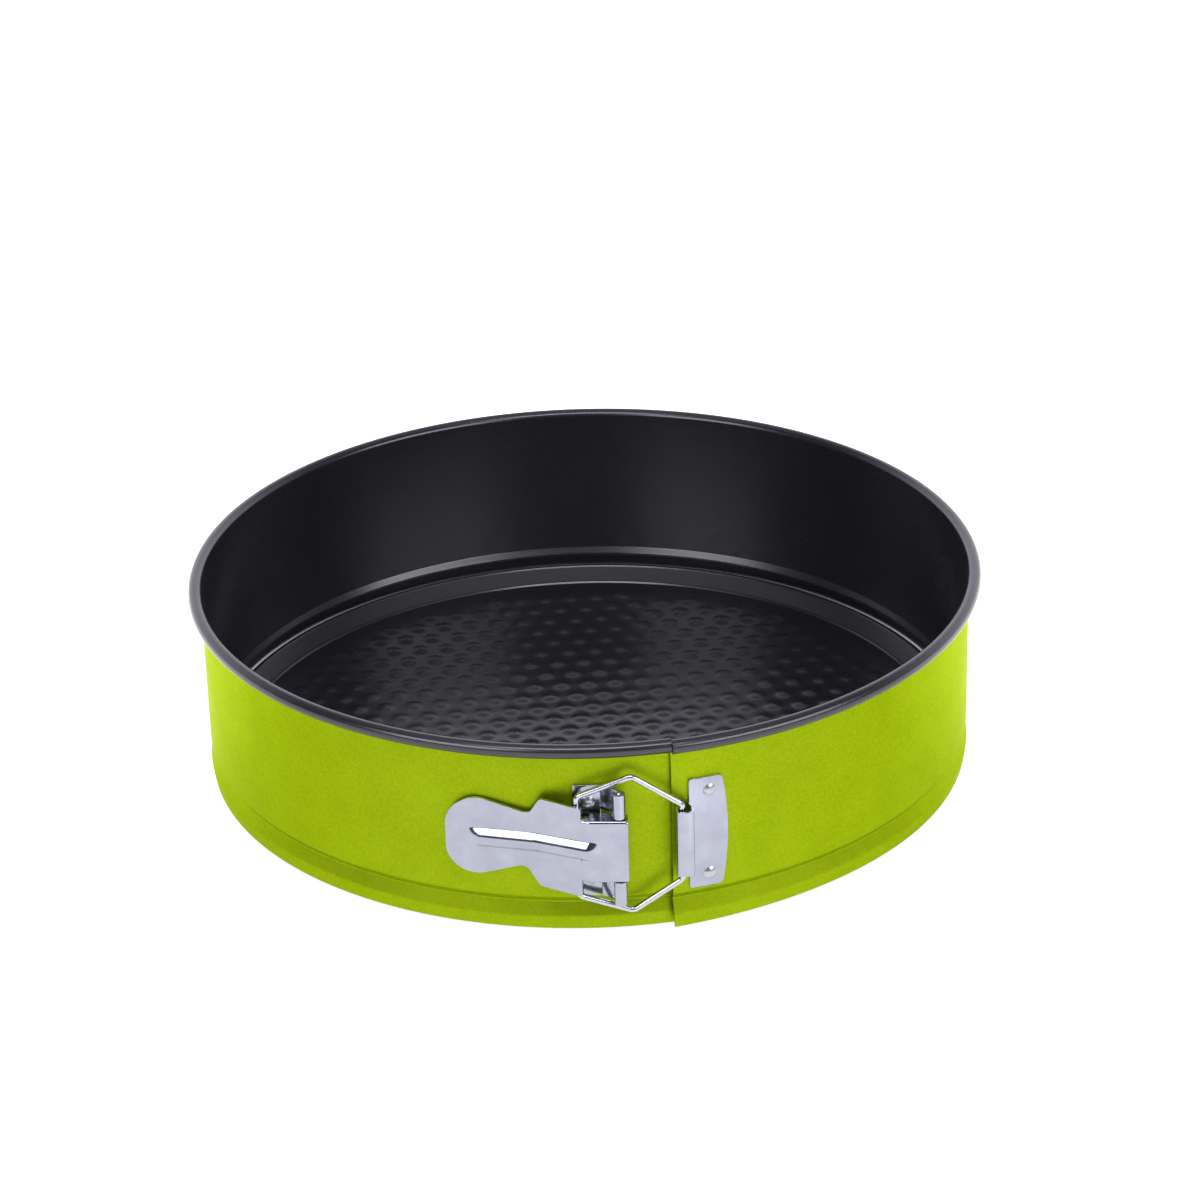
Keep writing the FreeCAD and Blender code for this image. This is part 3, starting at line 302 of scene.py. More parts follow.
for radius, z in rounded_line(BASE_STEP)[1:]:
    start = len(points)
    points += [round_the_pan(radius, 360 * i / ROUND_STEPS, z) for i in range(ROUND_STEPS)]
    for i in range(ROUND_STEPS):
        j = (i + 1) % ROUND_STEPS
        faces.append((ring[i], start + i, start + j, ring[j]))
    ring = list(range(start, start + ROUND_STEPS))
base_plate = add_piece("base_plate_pressed", points, faces, [nonstick])
gauge = base_plate.modifiers.new("gauge", "SOLIDIFY")
gauge.thickness = BASE_GAUGE * MM
gauge.offset = -1
gauge.use_even_offset = True
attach(base_plate, "base")
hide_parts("base_plate")

# ---------------------------------------------------------------- band
# The sprung side: one strip of steel sheet with a groove that grips the base and a
# rim rolled outwards. Non-stick inside and over the roll, lime lacquer outside.
WALL_RADIUS = 130.0      # outside
WALL_GAUGE = 0.6
WALL_MIDDLE = 129.7
ROLL_CENTRE = (131.7, 64.7)
ROLL_RADIUS = 2.0        # to the sheet's middle
ROLL_END = -130          # the roll starts at 180 and curls over the top to here, degrees
ROLL_POINTS = 36
TONGUE_TOP = 60.8        # the inner end stops below the roll
INNER_RIM_END = 11.05
INNER_STEPS = (12.2, 13.6)
INNER_END = 15.0
FLAP_CENTRE = (-5.822, 4.885)    # the lapping end runs round this centre
FLAP_GROWTH = 7.6        # on a radius this much larger
FLAP_RADIUS = WALL_RADIUS + FLAP_GROWTH
FLAP_ROOT = 50.0         # where it leaves the pan's own circle, degrees
FLAP_END = 13.0
PIECE_SPLIT = 120.0      # where the sides meet the back, which on the real pan flexes as the band opens
# each corner's radius, height and rounding
WALL_CORNERS = [(129.45, 0.3, 0), (130.0, 4.4, 3.5), (128.15, 9.6, 1.0),
                (WALL_MIDDLE, 12.0, 1.6), (WALL_MIDDLE, TONGUE_TOP, 0),
                (WALL_MIDDLE, ROLL_CENTRE[1], 0)]
LONGEST_RUN = 4.0        # rows up the wall are at most this far apart
HAIR = 0.001             # more than a point's rounding error
LEFT_COLUMNS = 133       # stations along each length of the band
FLAP_COLUMNS = 43
RIGHT_COLUMNS = 71
BACK_COLUMNS = 121

# lime lacquer stoved over pearl flake: yellow-green satin that glints like tinted metal
lacquer = bpy.data.materials.new("stoved_lime_pearl_lacquer")
lacquer.use_nodes = True
tree = lacquer.node_tree
shader = tree.nodes["Principled BSDF"]
shader.inputs["Metallic"].default_value = 0.85
shader.inputs["Roughness"].default_value = 0.42
shader.inputs["Specular IOR Level"].default_value = 0.1
shader.inputs["Specular Tint"].default_value = linear("#e0ea58")
FLAKE = 0.55             # pearl flake; drawn coarser than the real 0.05 mm to show
MOTTLE = 14              # slow mottling of the sprayed film
where = add_node(tree, "ShaderNodeTexCoord", {})
flake = add_node(tree, "ShaderNodeTexVoronoi",
                 {"Vector": where.outputs["Object"], "Scale": 1 / (FLAKE * MM)})
mottle = add_node(tree, "ShaderNodeTexNoise",
                  {"Vector": where.outputs["Object"], "Scale": 1 / (MOTTLE * MM), "Detail": 4})
both = add_node(tree, "ShaderNodeMath",
                {0: flake.outputs["Color"], 1: mottle.outputs["Fac"]}, operation="ADD")
share = add_node(tree, "ShaderNodeMath", {0: both.outputs["Value"], 1: 0.5},
                 operation="MULTIPLY")
tone = add_node(tree, "ShaderNodeValToRGB", {"Fac": share.outputs["Value"]})
tone.color_ramp.elements[0].position = 0.25
tone.color_ramp.elements[0].color = linear("#8fa60c")
tone.color_ramp.elements[1].position = 0.75
tone.color_ramp.elements[1].color = linear("#a0b818")
ripple = add_node(tree, "ShaderNodeBump",
                  {"Height": flake.outputs["Distance"], "Strength": 0.2,
                   "Distance": 0.05 * MM})
tree.links.new(tone.outputs["Color"], shader.inputs["Base Color"])
tree.links.new(ripple.outputs["Normal"], shader.inputs["Normal"])


def sheet_grid(front, back, kept=None):
    """Faces of a sheet between two equal grids of points; kept marks the cells left in.

    Gives the points, the faces, and each face's side: 0 front, 1 back, 2 cut edge."""
    columns, rows = front.shape[:2]
    kept = np.ones((columns - 1, rows - 1), bool) if kept is None else kept
    cell = np.pad(kept, 1)
    under = columns * rows
    faces, sides = [], []
    for c, r in np.argwhere(kept):
        a, b, d, e = (int(i) for i in (c * rows + r, (c + 1) * rows + r,
                                       (c + 1) * rows + r + 1, c * rows + r + 1))
        faces += [(a, b, d, e), (a + under, e + under, d + under, b + under)]
        sides += [0, 1]
        for beside, p, q in ((cell[c + 1, r], a, b), (cell[c + 2, r + 1], b, d),
                             (cell[c + 1, r + 2], d, e), (cell[c, r + 1], e, a)):
            if not beside:
                faces.append((q, p, p + under, q + under))
                sides.append(2)
    used = sorted({v for face in faces for v in face})
    place = {v: i for i, v in enumerate(used)}
    points = np.concatenate([front.reshape(-1, 3), back.reshape(-1, 3)])[used]
    return points, [tuple(place[v] for v in face) for face in faces], sides


def outward(line):
    """The right-hand normals along a line of points: out from the pan, or from the wall."""
    way = np.gradient(line, axis=0)
    way /= np.linalg.norm(way, axis=1)[:, None]
    return np.stack([way[:, 1], -way[:, 0]], axis=1)


section = [rounded_line(WALL_CORNERS)[0]]
for corner in rounded_line(WALL_CORNERS)[1:]:
    steps = math.ceil(np.linalg.norm(corner - section[-1]) / LONGEST_RUN)
    section += list(np.linspace(section[-1], corner, steps + 1)[1:])
straight_rows = len(section)
section += [(ROLL_CENTRE[0] + ROLL_RADIUS * math.cos(math.radians(a)),
             ROLL_CENTRE[1] + ROLL_RADIUS * math.sin(math.radians(a)))
            for a in np.linspace(180, ROLL_END, ROLL_POINTS)[1:]]
section = np.array(section)
section_out = outward(section)


def add_band(name, stations, kept=None):
    """A length of band through stations (angle, centre, extra radius per row)."""
    grids, normals = [], []
    for side in (1, -1):
        rz = section + section_out * WALL_GAUGE / 2 * side
        grids.append(np.array([[round_the_pan(r + e, angle, z, centre)
                                for (r, z), e in zip(rz, extra)]
                               for angle, centre, extra in stations]))
        normals.append(np.array([[round_the_pan(n[0] * side, angle, n[1] * side)
                                  for n in section_out] for angle, _, _ in stations]))
    points, faces, sides = sheet_grid(*grids, kept)
    directions = sheet_grid(*normals, kept)[0]
    # lacquer outside; the dark coat inside and on every cut edge, where it is painted shade
    # that makes the lapping end's edge read as a dark line
    piece = add_piece(name, points, faces, [lacquer, nonstick],
                      [0 if side == 0 else 1 for side in sides])
    shade = []
    for face, side, polygon in zip(faces, sides, piece.data.polygons):
        shade += ([tuple(polygon.normal)] * 4 if side == 2
                  else [tuple(directions[v]) for v in face])
    piece.data.normals_split_custom_set(shade)
    return piece


plain = np.zeros(len(section))
left_angles = list(np.linspace(-PIECE_SPLIT, INNER_RIM_END, LEFT_COLUMNS))
left_angles += [*INNER_STEPS, INNER_END]
below_tongue_top = section[1:, 1] <= TONGUE_TOP + HAIR
below_tongue_top[straight_rows - 1:] = False
full_height = np.ones(len(section) - 1, bool)
left_kept = np.array([below_tongue_top if a >= INNER_RIM_END else full_height
                      for a in left_angles[:-1]])
band_left = add_band("band_left_side", [(a, (0, 0), plain) for a in left_angles], left_kept)
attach(band_left, "ring_left")
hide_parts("band_left")

# the free end springs off the round: more at its foot, less at its stiff rim
FLARE_WALL = 0.35
FLARE_WALL_FADE = 13.0   # it dies out over this height below the rim's pull
FLARE_FOOT = 1.5
FLARE_FOOT_HEIGHT = 13.0
FLARE_FOOT_POWER = 1.5   # how suddenly the foot bends out
FLARE_LENGTH = 26.0      # the flare dies out along the flap, degrees
RIM_PULL = 0.45          # the stiff rim is drawn in by this
RIM_PULL_FROM = 54.0
row_height = np.where(np.arange(len(section)) < straight_rows, section[:, 1], ROLL_CENTRE[1])
flare = FLARE_WALL * np.clip((RIM_PULL_FROM - row_height) / FLARE_WALL_FADE, 0, 1)
flare += FLARE_FOOT * np.clip(1 - row_height / FLARE_FOOT_HEIGHT, 0, 1) ** FLARE_FOOT_POWER
flare -= RIM_PULL * np.clip((row_height - RIM_PULL_FROM)
                            / (ROLL_CENTRE[1] - RIM_PULL_FROM), 0, 1)
right_stations = []
for angle in np.linspace(FLAP_END, FLAP_ROOT, FLAP_COLUMNS)[:-1]:
    fade = max(0, 1 - (angle - FLAP_END) / FLARE_LENGTH) ** 2
    right_stations.append((angle, FLAP_CENTRE, FLAP_GROWTH + flare * fade))
right_stations += [(a, (0, 0), plain)
                   for a in np.linspace(FLAP_ROOT, PIECE_SPLIT, RIGHT_COLUMNS)]
band_right = add_band("band_right_side", right_stations)
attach(band_right, "ring_right")
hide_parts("band_right")

back_stations = [(a, (0, 0), plain)
                 for a in np.linspace(PIECE_SPLIT, 360 - PIECE_SPLIT, BACK_COLUMNS)]
band_back = add_band("band_back", back_stations)
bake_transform(band_back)

# ---------------------------------------------------------------- hinge bracket
# A folded plate of plated steel riveted to the inner end of the band. Its two arms
# stand off the wall and are curled into knuckles that hold the lever's pin.
LATCH_Z = 32.6
PIN = (8.6, -136.70)
BRACKET_GAUGE = 0.9
BRACKET_HALF = 19.7
KNUCKLE_INNER = 11.3
KNUCKLE_MIDDLE = 1.65    # pin's centre to the curled sheet's middle
BRACKET_FOOT = (-2.5, 1.0)       # it lies on the wall between these, degrees
ARM_START = (3.0, -130.5)
ARM_BEND = 1.0
WINDOW_LEFT = 3.1        # right of this the sheet between the arms is cut away
CURL_STEP = 9            # between points round a curled edge, degrees
CURL_WRAP = 285          # how far it goes round
FOOT_POINTS = 5
BRACKET_EDGE = 0.15      # how far the press's sharp edge is broken
SOFT_ANGLE = 50          # edges sharper than this are broken, degrees

# bright zinc plate on mild steel: light bluish grey, satin from the pressed sheet
# under it, with a faint cloudy change of gloss
plated = bpy.data.materials.new("bright_zinc_plate")
plated.use_nodes = True
tree = plated.node_tree
shader = tree.nodes["Principled BSDF"]
shader.inputs["Metallic"].default_value = 1.0
where = add_node(tree, "ShaderNodeTexCoord", {})
ROLLING = 0.5            # rolling grain of the sheet, across; drawn coarser to show
GLOSS_CLOUD = 7          # patches of gloss left by the plating bath
stretch = add_node(tree, "ShaderNodeMapping",
                   {"Vector": where.outputs["Object"], "Scale": (0.08, 1, 1)})
rolled = add_node(tree, "ShaderNodeTexNoise",
                  {"Vector": stretch.outputs["Vector"], "Scale": 1 / (ROLLING * MM),
                   "Detail": 2})
bath = add_node(tree, "ShaderNodeTexNoise",
                {"Vector": where.outputs["Object"], "Scale": 1 / (GLOSS_CLOUD * MM),
                 "Detail": 3})
gloss = add_node(tree, "ShaderNodeMapRange",
                 {"Value": bath.outputs["Fac"], "From Min": 0.3, "From Max": 0.7,
                  "To Min": 0.13, "To Max": 0.19})
tone = add_node(tree, "ShaderNodeValToRGB", {"Fac": bath.outputs["Fac"]})
tone.color_ramp.elements[0].position = 0.3
tone.color_ramp.elements[0].color = linear("#aeb0be")
tone.color_ramp.elements[1].position = 0.7
tone.color_ramp.elements[1].color = linear("#babcc9")
lines = add_node(tree, "ShaderNodeBump",
                 {"Height": rolled.outputs["Fac"], "Strength": 0.06, "Distance": 0.03 * MM})
tree.links.new(tone.outputs["Color"], shader.inputs["Base Color"])
tree.links.new(gloss.outputs["Result"], shader.inputs["Roughness"])
tree.links.new(lines.outputs["Normal"], shader.inputs["Normal"])


def turn_about(centre, radius, start, end, step):
    """Points round a circle seen from above, between two angles from +X, in degrees."""
    count = math.ceil(abs(end - start) / step)
    return [(centre[0] + radius * math.cos(math.radians(a)),
             centre[1] + radius * math.sin(math.radians(a)))
            for a in np.linspace(start, end, count + 1)]


def touch_angle(point, centre, radius, side):
    """Where a line from a point touches a circle, degrees from +X; side is +1 or -1."""
    dx, dy = point[0] - centre[0], point[1] - centre[1]
    return math.degrees(math.atan2(dy, dx) + side * math.acos(radius / math.hypot(dx, dy)))


def folded_sheet(path, gauge, levels):
    """Front and back grids of a sheet folded along a path seen from above."""
    path = np.array(path)
    aside = outward(path) * gauge / 2
    return [np.array([[(x, y, z) for z in levels] for x, y in path + aside * side])
            for side in (1, -1)]


def soften(piece, width):
    """Breaks a stamped piece's cut edges, as tumbling after the press does."""
    piece.data.set_sharp_from_angle(angle=math.radians(SOFT_ANGLE))
    bevel = piece.modifiers.new("broken_edges", "BEVEL")
    bevel.width = width * MM
    bevel.segments = 2
    bevel.limit_method = "ANGLE"
    bevel.angle_limit = math.radians(SOFT_ANGLE)
    bevel.use_clamp_overlap = False
    bevel.harden_normals = True


touch = touch_angle(ARM_START, PIN, KNUCKLE_MIDDLE, -1)
bracket_path = [round_the_pan(WALL_RADIUS + BRACKET_GAUGE / 2, a, 0)[:2] + (0,)
                for a in np.linspace(*BRACKET_FOOT, FOOT_POINTS)]
curl = turn_about(PIN, KNUCKLE_MIDDLE, touch, touch - CURL_WRAP, CURL_STEP)
bracket_path += [ARM_START + (ARM_BEND,), curl[0] + (0,)]
bracket_path = [tuple(p) for p in rounded_line(bracket_path)] + curl[1:]
levels = [LATCH_Z + h for h in (-BRACKET_HALF, -KNUCKLE_INNER, KNUCKLE_INNER, BRACKET_HALF)]
front, back = folded_sheet(bracket_path, BRACKET_GAUGE, levels)
solid_cells = np.ones((len(bracket_path) - 1, len(levels) - 1), bool)
solid_cells[[i for i, p in enumerate(bracket_path[:-1]) if p[0] > WINDOW_LEFT], 1] = False
points, faces, _ = sheet_grid(front, back, solid_cells)
bracket = add_piece("hinge_bracket_folded", points, faces, [plated])
soften(bracket, BRACKET_EDGE)
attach(bracket, "ring_left")
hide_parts("hinge_bracket")

# ---------------------------------------------------------------- hinge pin
# A straight length of steel wire cropped and chamfered, pressed through both
# knuckles and both ears of the lever, so that the lever turns on it.
PIN_RADIUS = 1.1
PIN_ENDS = (12.5, 52.7)
PIN_CHAMFER = 0.25
PIN_SIDES = 32
PIN_EDGE = 30            # edges sharper than this stay crisp, degrees


def turned(profile, place, sides):
    """A turned solid: (radius, height) up its own Z axis, set at a place."""
    points, faces = [], []
    for radius, height in profile:
        start = len(points)
        ring = [(radius * math.cos(math.tau * i / sides),
                 radius * math.sin(math.tau * i / sides), height)
                for i in range(sides if radius else 1)]
        points += [tuple(place @ Vector(p)) for p in ring]
        if start:
            below, count = start - len(last), len(last)
            for i in range(sides):
                j = (i + 1) % sides
                face = (below + i % count, below + j % count,
                        start + j % len(ring), start + i % len(ring))
                faces.append(tuple(dict.fromkeys(face)))
        last = ring
    return points, faces


pin_profile = [(0, PIN_ENDS[0]), (PIN_RADIUS - PIN_CHAMFER, PIN_ENDS[0]),
               (PIN_RADIUS, PIN_ENDS[0] + PIN_CHAMFER), (PIN_RADIUS, PIN_ENDS[1] - PIN_CHAMFER),
               (PIN_RADIUS - PIN_CHAMFER, PIN_ENDS[1]), (0, PIN_ENDS[1])]
pin_place = Matrix.Translation((*PIN, 0))
pin = add_piece("hinge_pin_turned", *turned(pin_profile, pin_place, PIN_SIDES), [plated])
pin.data.set_sharp_from_angle(angle=math.radians(PIN_EDGE))
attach(pin, "ring_left")
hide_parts("hinge_pin")

# ---------------------------------------------------------------- bracket rivets
# Two mild steel rivets, set from outside through the bracket and the wall, with a
# domed head on each side and a slightly duller face where the tool struck.
RIVET_SHANK = 1.2
RIVET_HEAD = 2.15
RIVET_RISE = 0.85
RIVET_SEAT = 0.04
RIVET_SIDES = 28
RIVET_EDGE = 50          # edges sharper than this stay crisp, degrees
DOME_STEPS = [0, 12, 25, 40, 55, 70, 82]   # rings up the head, at the sines of these
BRACKET_RIVET_ANGLE = -0.4
BRACKET_RIVET_HALF = 13.9

# mild steel struck cold: grey metal, a little rougher than the plate round it
struck = bpy.data.materials.new("struck_rivet_steel")
struck.use_nodes = True
tree = struck.node_tree
shader = tree.nodes["Principled BSDF"]
shader.inputs["Metallic"].default_value = 1.0
where = add_node(tree, "ShaderNodeTexCoord", {})
STRIKE = 0.6             # dents of the setting tool
dents = add_node(tree, "ShaderNodeTexNoise",
                 {"Vector": where.outputs["Object"], "Scale": 1 / (STRIKE * MM), "Detail": 2})
dull = add_node(tree, "ShaderNodeMapRange",
                {"Value": dents.outputs["Fac"], "To Min": 0.25, "To Max": 0.42})
tone = add_node(tree, "ShaderNodeValToRGB", {"Fac": dents.outputs["Fac"]})
tone.color_ramp.elements[0].color = linear("#b4b6bc")
tone.color_ramp.elements[1].color = linear("#d6d8dc")
dimpled = add_node(tree, "ShaderNodeBump",
                   {"Height": dents.outputs["Fac"], "Strength": 0.15, "Distance": 0.05 * MM})
tree.links.new(tone.outputs["Color"], shader.inputs["Base Color"])
tree.links.new(dull.outputs["Result"], shader.inputs["Roughness"])
tree.links.new(dimpled.outputs["Normal"], shader.inputs["Normal"])


def add_rivets(name, sheets, radius, angle, half, centre, body):
    """A pair of set rivets standing out from a face of given radius."""
    grip = WALL_GAUGE + sheets + RIVET_SEAT
    ball = (RIVET_HEAD ** 2 + RIVET_RISE ** 2) / (2 * RIVET_RISE)
    dome = [(math.sqrt(max(0, ball ** 2 - (ball - RIVET_RISE + h) ** 2)), h)
            for h in RIVET_RISE * np.sin(np.radians(DOME_STEPS))]
    dome.append((0, RIVET_RISE))
    profile = [(r, -grip - h) for r, h in dome[::-1]] + [(RIVET_SHANK, -grip), (RIVET_SHANK, 0)]
    profile += dome
    points, faces = [], []
    for side in (1, -1):
        place = (Matrix.Translation(round_the_pan(radius, angle, LATCH_Z + side * half, centre))
                 @ Matrix.Rotation(math.radians(angle), 4, "Z")
                 @ Matrix.Rotation(math.radians(90), 4, "X"))
        more_points, more_faces = turned(profile, place, RIVET_SIDES)
        faces += [tuple(v + len(points) for v in face) for face in more_faces]
        points += more_points
    pair = add_piece(name, points, faces, [struck])
    pair.data.set_sharp_from_angle(angle=math.radians(RIVET_EDGE))
    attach(pair, body)
    return pair


bracket_rivets = add_rivets("bracket_rivets_set", BRACKET_GAUGE, WALL_RADIUS + BRACKET_GAUGE,
                            BRACKET_RIVET_ANGLE, BRACKET_RIVET_HALF, (0, 0), "ring_left")
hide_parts("bracket_rivets")

# ---------------------------------------------------------------- lever
# The closing lever: plated steel blanked to a paddle shape, stiffened by a pressed
# rib, with two ears folded towards the wall that take the pin and the bail's ends.
LEVER_GAUGE = 1.0
LEVER_BEND = 4.0
LEVER_STATIONS = [(11.3, 9.66), (-1.0, 8.6), (-18.0, 2.5), (-45.8, 2.3)]   # x, off the wall
BODY_EDGE = -3.4
TONGUE_RIGHT = 11.3
TONGUE_HALF = 10.9
LEVER_LEFT = -46.0
# each corner's x, height from the latch's middle, and rounding
LEVER_OUTLINE = [(TONGUE_RIGHT, TONGUE_HALF, 0.6), (BODY_EDGE, TONGUE_HALF, 0),
                 (BODY_EDGE, 14.8, 0.8), (-16.2, 16.0, 1.2), (-19.6, 10.1, 2.4),
                 (LEVER_LEFT, 17.37, 10.5), (LEVER_LEFT, -16.52, 9.3), (-20.9, -8.1, 3),
                 (-16.6, -15.2, 1.4), (BODY_EDGE, -16.5, 0.8), (BODY_EDGE, -TONGUE_HALF, 0),
                 (TONGUE_RIGHT, -TONGUE_HALF, 0.6)]
RIB_ENDS = (-37.2, 0.2)
RIB_Z = LATCH_Z + 0.2
RIB_HALF = 3.4
RIB_RUN = 5.4            # it rises over this length from each end
RIB_RISE = 1.6
FOLD_RADIUS = 0.9
BROKEN_EDGE = 0.15
EAR_FACES = (10.0, 10.9)     # from the latch's mid height
EAR_OUTLINE = [(-8.4, -134.4, 0), (-1.0, -138.1, 0), (11.3, -138.2, 0), (11.3, -134.15, 0.8),
               (6.5, -134.15, 0), (-2.6, -131.42, 0.8), (-8.4, -131.42, 0.8)]
PIN_HOLE = 1.15
BAIL_PIVOT = (-4.7, -134.20)
SLOT = (-1.15, 4.05, -1.45, 1.85)   # start and end along the slot, out and in across it
SLOT_ROUND = 1.0
HOLE_STEP = 12           # between points round the pin's hole, degrees
HEAD_LENGTH = 9.0        # over this length the columns get closer towards the tip
HEAD_COLUMNS = 30
COLUMNS_FROM = -36.7     # between the head and the tongue's end they are evenly spaced
COLUMNS_TO = TONGUE_RIGHT - 0.3
COLUMN_STEP = 0.45
PLAN_STEP = 2            # between points round the plan's bends, degrees
OUTLINE_STEP = 4         # and round the outline's corners
SHOULDER = 0.004         # the outline steps in over this, each side of the body's edge
EDGE_SHARES = [0, 0.1, 0.35, 0.65, 1]
MARGIN_SHARES = [0, 0.03, 0.12, 0.3, 0.6, 1]
INNER_ROWS = 96
LEVER_EDGE = 40          # edges sharper than this stay crisp, degrees
WHOLE_HULL = 0           # the fill: everything up to the outermost points

# the plan's line from above, and the way out from the wall at each of its points
lever_plan = rounded_line([(x, -math.sqrt((WALL_RADIUS + s) ** 2 - x * x), LEVER_BEND)
                           for x, s in LEVER_STATIONS[::-1]], turn=PLAN_STEP)
plan_out = outward(lever_plan)
# the outline's upper and lower lines, each from the tip to the tongue
outline = rounded_line(LEVER_OUTLINE, turn=OUTLINE_STEP, closed=True)
tip = int(np.argmin(outline[:, 0]))
top_edge, low_edge = outline[:tip + 1][::-1], outline[tip:]
tip_end = [i for i, x in enumerate(low_edge[:, 0]) if x < LEVER_LEFT + HAIR][-1]
low_edge = low_edge[tip_end:]
edge_steps = BROKEN_EDGE * np.array(EDGE_SHARES)
columns = [LEVER_LEFT + HEAD_LENGTH * (1 - math.cos(a))
           for a in np.linspace(0, math.pi / 2, HEAD_COLUMNS)]
columns += [*np.arange(COLUMNS_FROM, COLUMNS_TO, COLUMN_STEP),
            *(BODY_EDGE - edge_steps), *(TONGUE_RIGHT - edge_steps),
            BODY_EDGE + SHOULDER, BODY_EDGE - SHOULDER]
columns = sorted({round(x, 4) for x in columns})
columns.remove(BODY_EDGE)
front, back = [], []
for x in columns:
    high = LATCH_Z + np.interp(x, top_edge[:, 0], top_edge[:, 1])
    low = LATCH_Z + np.interp(x, low_edge[:, 0], low_edge[:, 1])
    ear_zone = x > BODY_EDGE
    round_off = FOLD_RADIUS if ear_zone else BROKEN_EDGE
    margin = np.array(MARGIN_SHARES) * min(FOLD_RADIUS, (high - low) / 4)
    rows = np.concatenate([low + margin, np.linspace(low + margin[-1], high - margin[-1],
                                                     INNER_ROWS)[1:-1], (high - margin)[::-1]])
    y = np.interp(x, lever_plan[:, 0], lever_plan[:, 1])
    out = np.array([np.interp(x, lever_plan[:, 0], plan_out[:, k]) for k in (0, 1)])
    front_line, back_line = [], []
    for z in rows:
        to_rib = math.hypot(x - min(max(x, RIB_ENDS[0]), RIB_ENDS[1]), z - RIB_Z)
        to_end = min(x - RIB_ENDS[0], RIB_ENDS[1] - x) + RIB_HALF
        run = min(1, max(0, to_end) / RIB_RUN)
        rib = RIB_RISE * run * math.cos(math.pi / 2 * min(1, to_rib / RIB_HALF))
        end_gap = TONGUE_RIGHT - x
        if not ear_zone and abs(z - LATCH_Z) > TONGUE_HALF:
            end_gap = BODY_EDGE - x
        fall = 0
        for gap, size in ((min(z - low, high - z), round_off), (end_gap, BROKEN_EDGE),
                          (x - LEVER_LEFT, BROKEN_EDGE)):
            if gap < size:
                fall = max(fall, size - math.sqrt(size ** 2 - (size - gap) ** 2))
        fx, fy = np.array((x, y)) + out * (rib - fall)
        bx, by = np.array((x, y)) + out * (rib - LEVER_GAUGE)
        front_line.append((fx, fy, z))
        back_line.append((bx, by, z))
    front.append(front_line)
    back.append(back_line)
points, faces, _ = sheet_grid(np.array(front), np.array(back))
points, faces = [tuple(p) for p in points], list(faces)


def punched_plate(loops, low, high):
    """A flat plate between two heights: the first loop is its edge, the others are holes."""
    flat, edges = [], []
    for loop in loops:
        start = len(flat)
        flat += [Vector(p) for p in loop]
        edges += [(start + i, start + (i + 1) % len(loop)) for i in range(len(loop))]
    made = geometry.delaunay_2d_cdt(flat, edges, [], WHOLE_HULL, WELD)
    spots = [tuple(p) for p in made[0]]

    def inside(loop, x, y):
        crossed = False
        for (x1, y1), (x2, y2) in zip(loop, np.roll(loop, -1, axis=0)):
            if (y1 > y) != (y2 > y) and x < x1 + (y - y1) / (y2 - y1) * (x2 - x1):
                crossed = not crossed
        return crossed

    faces = []
    for face in made[2]:
        x, y = np.mean([spots[v] for v in face], axis=0)
        if inside(loops[0], x, y) and not any(inside(loop, x, y) for loop in loops[1:]):
            faces += [tuple(v + len(spots) for v in face), tuple(face[::-1])]
    rim = {}
    for face in faces[1::2]:
        for p, q in zip(face, face[1:] + face[:1]):
            rim[(p, q)] = (q, p) not in rim
            if (q, p) in rim:
                rim[(q, p)] = False
    faces += [(q, p, p + len(spots), q + len(spots)) for (p, q), kept in rim.items() if kept]
    return [(*p, low) for p in spots] + [(*p, high) for p in spots], faces


slot_way = np.array(PIN) - np.array(BAIL_PIVOT)
slot_way /= np.linalg.norm(slot_way)
slot_in = np.array((-slot_way[1], slot_way[0]))
slot_loop = [(a, b, SLOT_ROUND) for a, b in ((SLOT[0], SLOT[2]), (SLOT[1], SLOT[2]),
                                             (SLOT[1], SLOT[3]), (SLOT[0], SLOT[3]))]
slot_loop = [tuple(np.array(BAIL_PIVOT) + slot_way * a + slot_in * b)
             for a, b in rounded_line(slot_loop, closed=True)]
ear_loops = [[tuple(p) for p in rounded_line(EAR_OUTLINE, closed=True)],
             turn_about(PIN, PIN_HOLE, 0, 360, HOLE_STEP)[:-1], slot_loop]
for low, high in (EAR_FACES, (-EAR_FACES[1], -EAR_FACES[0])):
    more_points, more_faces = punched_plate(ear_loops, LATCH_Z + low, LATCH_Z + high)
    faces += [tuple(v + len(points) for v in face) for face in more_faces]
    points += more_points
lever = add_piece("lever_pressed", points, faces, [plated])
lever.data.set_sharp_from_angle(angle=math.radians(LEVER_EDGE))
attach(lever, "lever")
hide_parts("lever")

# ---------------------------------------------------------------- bail
# The closing loop: hard-drawn spring wire bent in a flat six-sided loop, its ends
# turned in to the ears and its hook bar held in the catch plate's curl.
WIRE_RADIUS = 1.0
BAR = (28.3, -133.00)
# each corner's distance from the ears along the loop, from its middle, and rounding
BAIL_HALF = [(0, 9.0, 0), (0, 17.6, 2.6), (17.3, 23.9, 2.6), (33.02, 13.3, 2.6)]
BEND_STEP = 6            # between points round a bend, degrees
WIRE_ROUNDNESS = 7

